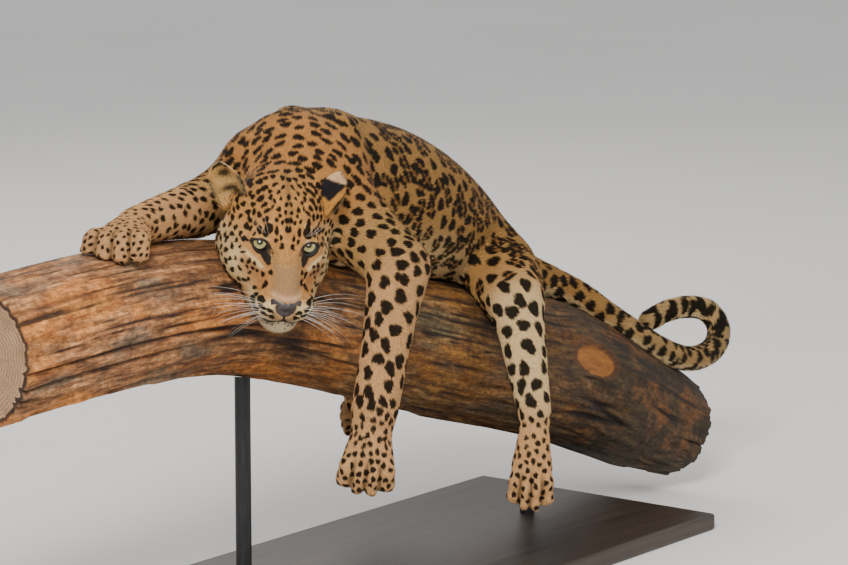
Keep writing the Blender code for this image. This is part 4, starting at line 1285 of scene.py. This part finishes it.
def smooth_line(knots, count):
    """Places evenly spaced on a smooth curve through knots."""
    knots = np.array([(x, BRANCH_Y, z) for x, z in knots])
    knots = np.vstack([2 * knots[0] - knots[1], knots, 2 * knots[-1] - knots[-2]])
    fine = []
    for i in range(1, len(knots) - 2):
        a, b, c, d = knots[i - 1:i + 3]
        for t in np.arange(0, 1, 1 / 24):
            fine.append(0.5 * (2 * b + (c - a) * t + (2 * a - 5 * b + 4 * c - d) * t * t
                               + (3 * b - a - 3 * c + d) * t ** 3))
    fine.append(knots[-2])
    fine = np.array(fine)
    along = np.concatenate([[0], np.cumsum(np.linalg.norm(np.diff(fine, axis=0), axis=1))])
    wanted = np.linspace(0, along[-1], count)
    return np.stack([np.interp(wanted, along, fine[:, k]) for k in range(3)], axis=1), wanted


def branch_radii(line, rays):
    """Radius of the branch's solid along each ray, evened out."""
    tree = BVHTree.FromObject(NODES["branch"], bpy.context.evaluated_depsgraph_get())
    radii = np.empty((BRANCH_RINGS, BRANCH_SIDES))
    for i, j in itertools.product(range(BRANCH_RINGS), range(BRANCH_SIDES)):
        start = Vector(line[min(max(i, 1), BRANCH_RINGS - 2)])
        radii[i, j] = tree.ray_cast(start, Vector(rays[i, j]))[3] or BRANCH_RADIUS
    for _ in range(6):
        radii = (radii + np.roll(radii, 1, 1) + np.roll(radii, -1, 1)) / 3
        radii[1:-1] = (radii[1:-1] + radii[:-2] + radii[2:]) / 3
    return radii


def weathering(grain):
    """How deep in cracks and torn stretches each place lies, and how much its radius is cut by."""
    long_cracks = np.abs(noise_at(grain * np.array([1.0, 4.0, 4.0]), 1.6, 5.0))
    fine_cracks = np.abs(noise_at(grain * np.array([2.0, 12.0, 12.0]), 1.7, 8.0))
    plates = noise_at(grain * np.array([5.0, 6.0, 6.0]), 1.3, 21.0)
    cracks = step(0.075, 0.0, long_cracks) * LONG_CRACK_DEPTH
    cracks += step(0.09, 0.0, fine_cracks) * FINE_CRACK_DEPTH
    torn = step(0.30, 0.42, noise_at(grain, 1.7, 11.0)) * TORN_DEPTH
    shelf = step(0.12, 0.20, plates) * SHELF_HEIGHT
    under = 0.25 + 0.75 * step(0.3, -0.2, grain[:, 2])
    press = (cracks + torn) * under + 0.0035 - shelf * 0.75 + 0.0010 * fine_cracks
    return np.clip((cracks + torn * 0.5) / 0.009, 0, 1), press


def scar_shares(places):
    """How far each place lies in the bare scar, and on the lip round it."""
    rel = places - SCAR
    far = np.where(rel[:, 1] < 0.06, np.linalg.norm(rel @ SCAR_AXES.T / SCAR_HALF, axis=1), 9.0)
    return step(1.08, 0.92, far), np.exp(-((far - 1.14) / 0.12) ** 2)


def end_ring(edge, share):
    """A ring of a sawn end, a share of the way from its edge to its middle."""
    ring = edge.copy()
    ring[:, :3] = mix(edge[:, :3], edge[:, :3].mean(axis=0), share)
    ring[:, 3:6] *= 1.0 - share
    ring[:, 6:] = (2.0 + share, 0.0)
    return ring


def make_branch(material):
    """Weathered barkless wood: flutes, cracks and splinters along the grain, with sawn ends."""
    line, along = smooth_line(BRANCH_KNOTS, BRANCH_RINGS)
    ahead = unit(np.gradient(line, axis=0))
    side = unit(np.cross(ahead, np.array([0.0, 0.0, 1.0])))
    rays = spokes(side, np.cross(side, ahead), BRANCH_SIDES)
    radii = branch_radii(line, rays)
    # Round the branch, so that patterns close, and stretched along it
    turns = np.linspace(0, math.tau, BRANCH_SIDES, endpoint=False)
    around = np.tile(np.stack([np.cos(turns), np.sin(turns)], axis=1), (BRANCH_RINGS, 1))
    grain = np.hstack([np.repeat(along, BRANCH_SIDES)[:, None] * 0.5, around])
    lie = grain * np.array([2.0, 0.11, 0.11])
    grain[:, 1:] += 0.12 * noise_at(grain, 2.0, 3.0)[:, None]
    depth, press = weathering(grain)
    start, full, fading, end = TAIL_REST
    length = np.repeat(line[:, 0], BRANCH_SIDES)
    below_tail = step(start, full, length) * step(end, fading, length) * step(0.20, 0.55, around[:, 1])
    press = mix(press, -TAIL_REST_RISE, below_tail)
    bare, lip = scar_shares((line[:, None] + rays * radii[:, :, None]).reshape(-1, 3))
    press = mix(press, SCAR_DEPTH, bare) - SCAR_LIP * lip
    radii = radii - press.reshape(radii.shape)
    # Each corner's place, lie of the grain, depth in the cracks, which sets their painted shade, and scar
    places = (line[:, None] + rays * radii[:, :, None]).reshape(-1, 3)
    wear, scar = depth * (1.0 - bare), bare + 0.5 * lip * (1.0 - bare)
    rows = np.hstack([places, lie, wear[:, None], scar[:, None]]).reshape(BRANCH_RINGS, BRANCH_SIDES, 8)
    inward = np.arange(1, END_RINGS) / END_RINGS
    rings = [*(end_ring(rows[0], share) for share in inward[::-1]), *rows]
    rings += [end_ring(rows[-1], share) for share in inward]
    table = np.vstack([*rings, end_ring(rows[0], 1.0)[:1], end_ring(rows[-1], 1.0)[:1]])
    last = (len(rings) - 1) * BRANCH_SIDES
    faces = ring_faces(len(rings), BRANCH_SIDES)
    faces += fan_faces(0, BRANCH_SIDES, len(table) - 2) + fan_faces(last, BRANCH_SIDES, len(table) - 1)
    mesh = mesh_from("branch_wood", table[:, :3], faces)
    face_outwards(mesh)
    for name, kind, key, values in (("wear", "FLOAT", "value", table[:, 6]),
                                    ("grain", "FLOAT_VECTOR", "vector", table[:, 3:6]),
                                    ("scar", "FLOAT", "value", table[:, 7])):
        write_rows(mesh.attributes.new(name, kind, "POINT").data, key, values)
    mesh.shade_smooth()
    item = new_object("branch_wood", mesh)
    mesh.materials.append(material)
    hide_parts("branch")
    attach(item, "root")


# Materials

class Paint:
    """A material with short calls for its nodes."""

    def __init__(self, name, roughness=0.5, **fixed):
        self.material = bpy.data.materials.new(name)
        self.material.use_nodes = True
        self.tree = self.material.node_tree
        self.shader = self.tree.nodes["Principled BSDF"]
        self.shader.inputs["Roughness"].default_value = roughness
        for key, value in fixed.items():
            self.shader.inputs[key.replace("_", " ")].default_value = value

    def add(self, kind, **inputs):
        node = self.tree.nodes.new("ShaderNode" + kind)
        for key, value in inputs.items():
            self.feed(node, key.replace("_", " "), value)
        return node

    def feed(self, node, key, value):
        if isinstance(value, bpy.types.NodeSocket):
            self.tree.links.new(value, node.inputs[key])
        else:
            node.inputs[key].default_value = value

    def place(self, scale=(1, 1, 1), own=None):
        """Object coordinates, or a mesh's own ones where their name is given, stretched."""
        coords = self.attribute(own, "Vector") if own else self.add("TexCoord").outputs["Object"]
        return self.add("Mapping", Vector=coords, Scale=scale).outputs["Vector"]

    def attribute(self, name, output="Fac"):
        node = self.add("Attribute")
        node.attribute_name = name
        return node.outputs[output]

    def noise(self, vector, scale, detail=4.0, roughness=0.55):
        return self.add("TexNoise", Vector=vector, Scale=scale, Detail=detail,
                        Roughness=roughness).outputs["Fac"]

    def math(self, kind, *values):
        node = self.add("Math")
        node.operation = kind
        for k, value in enumerate(values):
            self.feed(node, k, value)
        return node.outputs[0]

    def ramp(self, value, *stops):
        node = self.add("ValToRGB", Fac=value)
        elements = node.color_ramp.elements
        while len(elements) < len(stops):
            elements.new(0.5)
        for element, (place, *colour) in zip(elements, stops):
            element.position = place
            element.color = (*colour, 1.0)
        return node.outputs["Color"]

    def blend(self, share, a, b, kind="MIX"):
        node = self.add("Mix")
        node.data_type = "RGBA"
        node.blend_type = kind
        for key, value in ((0, share), (6, a), (7, b)):
            self.feed(node, key, (*value, 1.0) if isinstance(value, tuple) else value)
        return node.outputs[2]

    def spread(self, value, low, high, to_low=0.0, to_high=1.0):
        node = self.add("MapRange", Value=value)
        for key, number in (("From Min", low), ("From Max", high), ("To Min", to_low), ("To Max", to_high)):
            node.inputs[key].default_value = number
        return node.outputs["Result"]

    def bump(self, height, strength, distance):
        node = self.add("Bump", Height=height, Strength=strength, Distance=distance)
        self.use("Normal", node.outputs["Normal"])

    def use(self, key, value):
        self.tree.links.new(value, self.shader.inputs[key])

    def tones(self, value, dark, pale):
        """Base colour from dark to pale."""
        self.use("Base Color", self.ramp(value, (0.3, *dark), (0.7, *pale)))


def coat_paint():
    paint = Paint("coat", 0.70, Specular_IOR_Level=0.18)
    paint.use("Base Color", paint.attribute("markings", "Color"))
    return paint.material


def skin_paint():
    paint = Paint("skin", 0.80, Specular_IOR_Level=0.15)
    fine = paint.noise(paint.place(), 900.0, 2.0)
    tone = paint.spread(fine, 0.2, 0.8, 0.70, 1.05)
    paint.use("Base Color", paint.blend(1.0, paint.attribute("markings", "Color"), tone, "MULTIPLY"))
    paint.bump(fine, 0.35, 0.0012)
    return paint.material


def nose_paint():
    paint = Paint("nose leather", 0.38, Specular_IOR_Level=0.55)
    cells = paint.add("TexVoronoi", Vector=paint.place(), Scale=850.0).outputs["Distance"]
    paint.tones(paint.noise(paint.place(), 90.0, 3.0), (0.016, 0.013, 0.013), (0.050, 0.036, 0.034))
    paint.bump(cells, 0.35, 0.0006)
    return paint.material


def rim_paint():
    paint = Paint("lid margin", 0.45, Specular_IOR_Level=0.25)
    broad = paint.noise(paint.place(), 300.0, 3.0)
    paint.tones(broad, (0.006, 0.005, 0.005), (0.020, 0.015, 0.013))
    paint.bump(broad, 0.2, 0.0003)
    return paint.material


def whisker_paint():
    paint = Paint("whisker", 0.35, Specular_IOR_Level=0.6)
    paint.tones(paint.noise(paint.place(), 60.0, 2.0), (0.55, 0.52, 0.47), (0.85, 0.82, 0.77))
    return paint.material


def eye_paint():
    """Greenish grey iris, yellower near a small round pupil, with fine rays, a dark ring partly painted as
    shade of its depth, and painted shadow of the upper lid over its top.
    """
    paint = Paint("eye", 0.20, Coat_Weight=0.40, Coat_Roughness=0.12, Specular_IOR_Level=0.35)
    marks = paint.attribute("iris", "Vector")
    parts = paint.add("SeparateXYZ", Vector=marks)
    rays = paint.noise(marks, 7.0, 6.0, 0.7)
    # Dark ring at the iris's edge: partly the eye's own ring, partly painted shade standing for the iris's
    # depth
    iris = paint.ramp(parts.outputs["Z"], (0.33, 0.0, 0.0, 0.0), (0.38, 0.11, 0.08, 0.02),
                      (0.52, 0.24, 0.205, 0.060), (0.82, 0.30, 0.28, 0.110), (0.94, 0.07, 0.06, 0.03),
                      (1.0, 0.010, 0.008, 0.007), (1.12, 0.012, 0.010, 0.009))
    colour = paint.blend(1.0, iris, paint.spread(rays, 0.3, 0.7, 0.65, 1.3), "MULTIPLY")
    # Painted shadow of the upper lid over the top of the iris
    painted_lid_shadow = paint.spread(parts.outputs["Y"], 0.0, 0.9, 0.0, 0.65)
    paint.use("Base Color", paint.blend(painted_lid_shadow, colour, (0.02, 0.018, 0.01)))
    return paint.material


def wood_paint():
    """Weathered wood: golden brown by the head, darker and mossy towards the low end, with sawn ends; the
    change along the branch is partly painted light and shade.
    """
    paint = Paint("branch wood", 0.70, Specular_IOR_Level=0.30)
    wear, scar = paint.attribute("wear"), paint.attribute("scar")
    grain = paint.noise(paint.place((8.0, 46.0, 46.0), "grain"), 2.0, 9.0, 0.70)
    fine = paint.noise(paint.place((22.0, 240.0, 240.0), "grain"), 2.0, 6.0, 0.72)
    broad = paint.noise(paint.place((1.6, 5.0, 5.0), "grain"), 3.0, 6.0, 0.62)
    patchy = paint.noise(paint.place(), 16.0, 8.0, 0.70)
    grit = paint.noise(paint.place(), 90.0, 5.0, 0.75)
    along = paint.add("SeparateXYZ", Vector=paint.place()).outputs["X"]
    base = paint.ramp(grain, (0.32, 0.055, 0.026, 0.015), (0.45, 0.165, 0.078, 0.042),
                      (0.56, 0.320, 0.165, 0.088), (0.70, 0.560, 0.340, 0.200))
    orange = paint.ramp(grain, (0.36, 0.230, 0.080, 0.022), (0.60, 0.520, 0.235, 0.080),
                        (0.72, 0.680, 0.400, 0.190))
    grey = paint.ramp(grain, (0.34, 0.060, 0.040, 0.030), (0.70, 0.300, 0.220, 0.165))
    moss = paint.ramp(grain, (0.32, 0.018, 0.013, 0.008), (0.52, 0.062, 0.042, 0.022),
                      (0.70, 0.140, 0.105, 0.050))
    mossy = paint.math("MULTIPLY", paint.spread(along, -0.05, 0.50), paint.spread(patchy, 0.34, 0.52))
    # Painted light and shade along the branch, lighter by the head and darker towards the low end, partly the
    # wood's own tone
    light = paint.ramp(paint.spread(along, -1.0, 1.0), (0.12, 1.20, 1.06, 0.80), (0.30, 0.80, 0.66, 0.40),
                       (0.50, 0.66, 0.66, 0.42), (0.75, 0.60, 0.52, 0.34), (0.95, 0.46, 0.42, 0.30))
    heart = paint.ramp(grain, (0.34, 0.15, 0.052, 0.010), (0.66, 0.36, 0.140, 0.028))
    rings = paint.math("SINE", paint.math("MULTIPLY", wear, 120.0))
    sawn = paint.ramp(paint.spread(rings, -1.0, 1.0), (0.0, 0.28, 0.16, 0.085), (1.0, 0.46, 0.29, 0.165))
    sawn = paint.blend(paint.spread(patchy, 0.4, 0.7), sawn, (0.20, 0.11, 0.06))
    colour = base
    for kind, share, tone in (
        ("MIX", paint.spread(broad, 0.50, 0.58), orange),
        ("MIX", paint.spread(broad, 0.44, 0.36), grey),
        ("MIX", mossy, moss),
        ("MULTIPLY", 0.85, paint.spread(fine, 0.30, 0.70, 0.45, 1.50)),
        ("MULTIPLY", 0.80, paint.spread(patchy, 0.34, 0.66, 0.55, 1.40)),
        ("MULTIPLY", 1.0, paint.spread(grit, 0.34, 0.66, 0.55, 1.50)),
        # Painted light and shade along the branch
        ("MULTIPLY", 1.0, light),
        ("MIX", paint.spread(scar, 0.05, 0.5, 0.0, 0.7), (0.090, 0.034, 0.014)),
        ("MIX", paint.spread(scar, 0.6, 0.95), heart),
        # Painted shade deep in the cracks and torn stretches
        ("MIX", paint.spread(wear, 0.12, 0.85, 0.0, 0.90), (0.014, 0.008, 0.006)),
        ("MIX", paint.spread(wear, 1.6, 1.9), sawn),
    ):
        colour = paint.blend(share, colour, tone, kind)
    paint.use("Base Color", colour)
    paint.bump(paint.math("MULTIPLY_ADD", grain, 2.5, grit), 0.8, 0.0035)
    return paint.material


def stand_wood_paint():
    paint = Paint("stand wood", 0.42, Specular_IOR_Level=0.45)
    grain = paint.noise(paint.place((1.2, 22.0, 22.0)), 3.0, 6.0, 0.6)
    paint.tones(grain, (0.020, 0.014, 0.010), (0.052, 0.036, 0.026))
    paint.bump(grain, 0.12, 0.0008)
    return paint.material


def stand_metal_paint():
    paint = Paint("stand metal", 0.42, Metallic=0.7)
    fine = paint.noise(paint.place((60.0, 60.0, 4.0)), 6.0, 3.0)
    paint.tones(fine, (0.018, 0.018, 0.019), (0.034, 0.034, 0.036))
    paint.use("Roughness", paint.spread(fine, 0.2, 0.8, 0.36, 0.50))
    return paint.material


def dress_stand():
    wood, metal = stand_wood_paint(), stand_metal_paint()
    for name, item in NODES.items():
        if name.startswith("stand_"):
            item.data.materials.clear()
            item.data.materials.append(wood if name == "stand_base" else metal)


# Studio

FOCAL_PIXELS = 3840.0
SENSOR_WIDTH = 36.0
LIT_PLACE = Vector((-0.1, 0.0, 0.5))


def make_studio():
    """Pale floor, soft lights and the camera."""
    bpy.ops.mesh.primitive_plane_add(size=1.0)
    floor = bpy.context.active_object
    floor.name = "floor"
    floor.scale = (60.0, 60.0, 1.0)
    bpy.ops.object.transform_apply(location=True, rotation=True, scale=True)
    paint = Paint("floor", 0.85)
    paint.tones(paint.noise(paint.place(), 0.8, 2.0), (0.78, 0.77, 0.75), (0.82, 0.81, 0.79))
    floor.data.materials.append(paint.material)
    world = bpy.data.worlds.new("studio")
    bpy.context.scene.world = world
    world.use_nodes = True
    background = world.node_tree.nodes["Background"]
    background.inputs[0].default_value = (0.86, 0.86, 0.87, 1.0)
    background.inputs[1].default_value = 0.75
    for name, place, power, size, tint in (
        ("key", (-3.6, -2.2, 3.4), 310.0, 1.5, (1.0, 0.97, 0.91)),
        ("fill", (1.8, -4.2, 2.0), 50.0, 3.0, (1.0, 0.97, 0.93)),
        ("back", (2.4, 3.2, 3.4), 70.0, 2.4, (1.0, 0.96, 0.90)),
    ):
        light = bpy.data.lights.new(name, "AREA")
        light.energy = power
        light.size = size
        light.color = tint
        lamp = new_object(name, light)
        lamp.location = place
        lamp.rotation_euler = (LIT_PLACE - Vector(place)).to_track_quat("-Z", "Y").to_euler()
    camera = bpy.data.cameras.new("camera")
    camera.sensor_width = SENSOR_WIDTH
    camera.lens = FOCAL_PIXELS / IMAGE_SIZE[0] * SENSOR_WIDTH
    camera.clip_end = 200.0
    eye = new_object("camera", camera)
    eye.location = CAMERA_PLACE
    eye.rotation_euler = CAMERA_WAY.to_track_quat("-Z", "Y").to_euler()
    bpy.context.scene.camera = eye


def main():
    make_studio()
    rng = np.random.default_rng(7)
    coat, skin_material = coat_paint(), skin_paint()
    skin, part, measures = make_skin()
    lie = lie_of_coat(skin.data)
    corners, (triangles, _) = corners_of(skin.data), triangles_of(skin.data)
    FACE_TREE["skin"] = BVHTree.FromPolygons(corners.tolist(), triangles.tolist())
    spots = make_spots(skin, part, lie, rng)
    ground = ground_colours(skin, part)
    # The skin's colour, darkened by painted shade under the coat
    colour_mesh(skin.data, markings(corners, ground, spots) * SKIN_PAINTED_SHADE)
    skin.data.materials.append(skin_material)
    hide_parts(*FLESH)
    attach(skin, "root")
    uvs = unwrap(skin)
    make_coat(skin, part, measures, lie, ground, spots, uvs, coat, rng)
    make_ears(skin_material, coat, rng)
    make_eyes(eye_paint(), CAMERA_PLACE + GAZE_RISE)
    make_eye_rims(rim_paint())
    make_lips(rim_paint())
    make_nose(nose_paint())
    make_whiskers(whisker_paint(), rng)
    make_branch(wood_paint())
    dress_stand()


main()
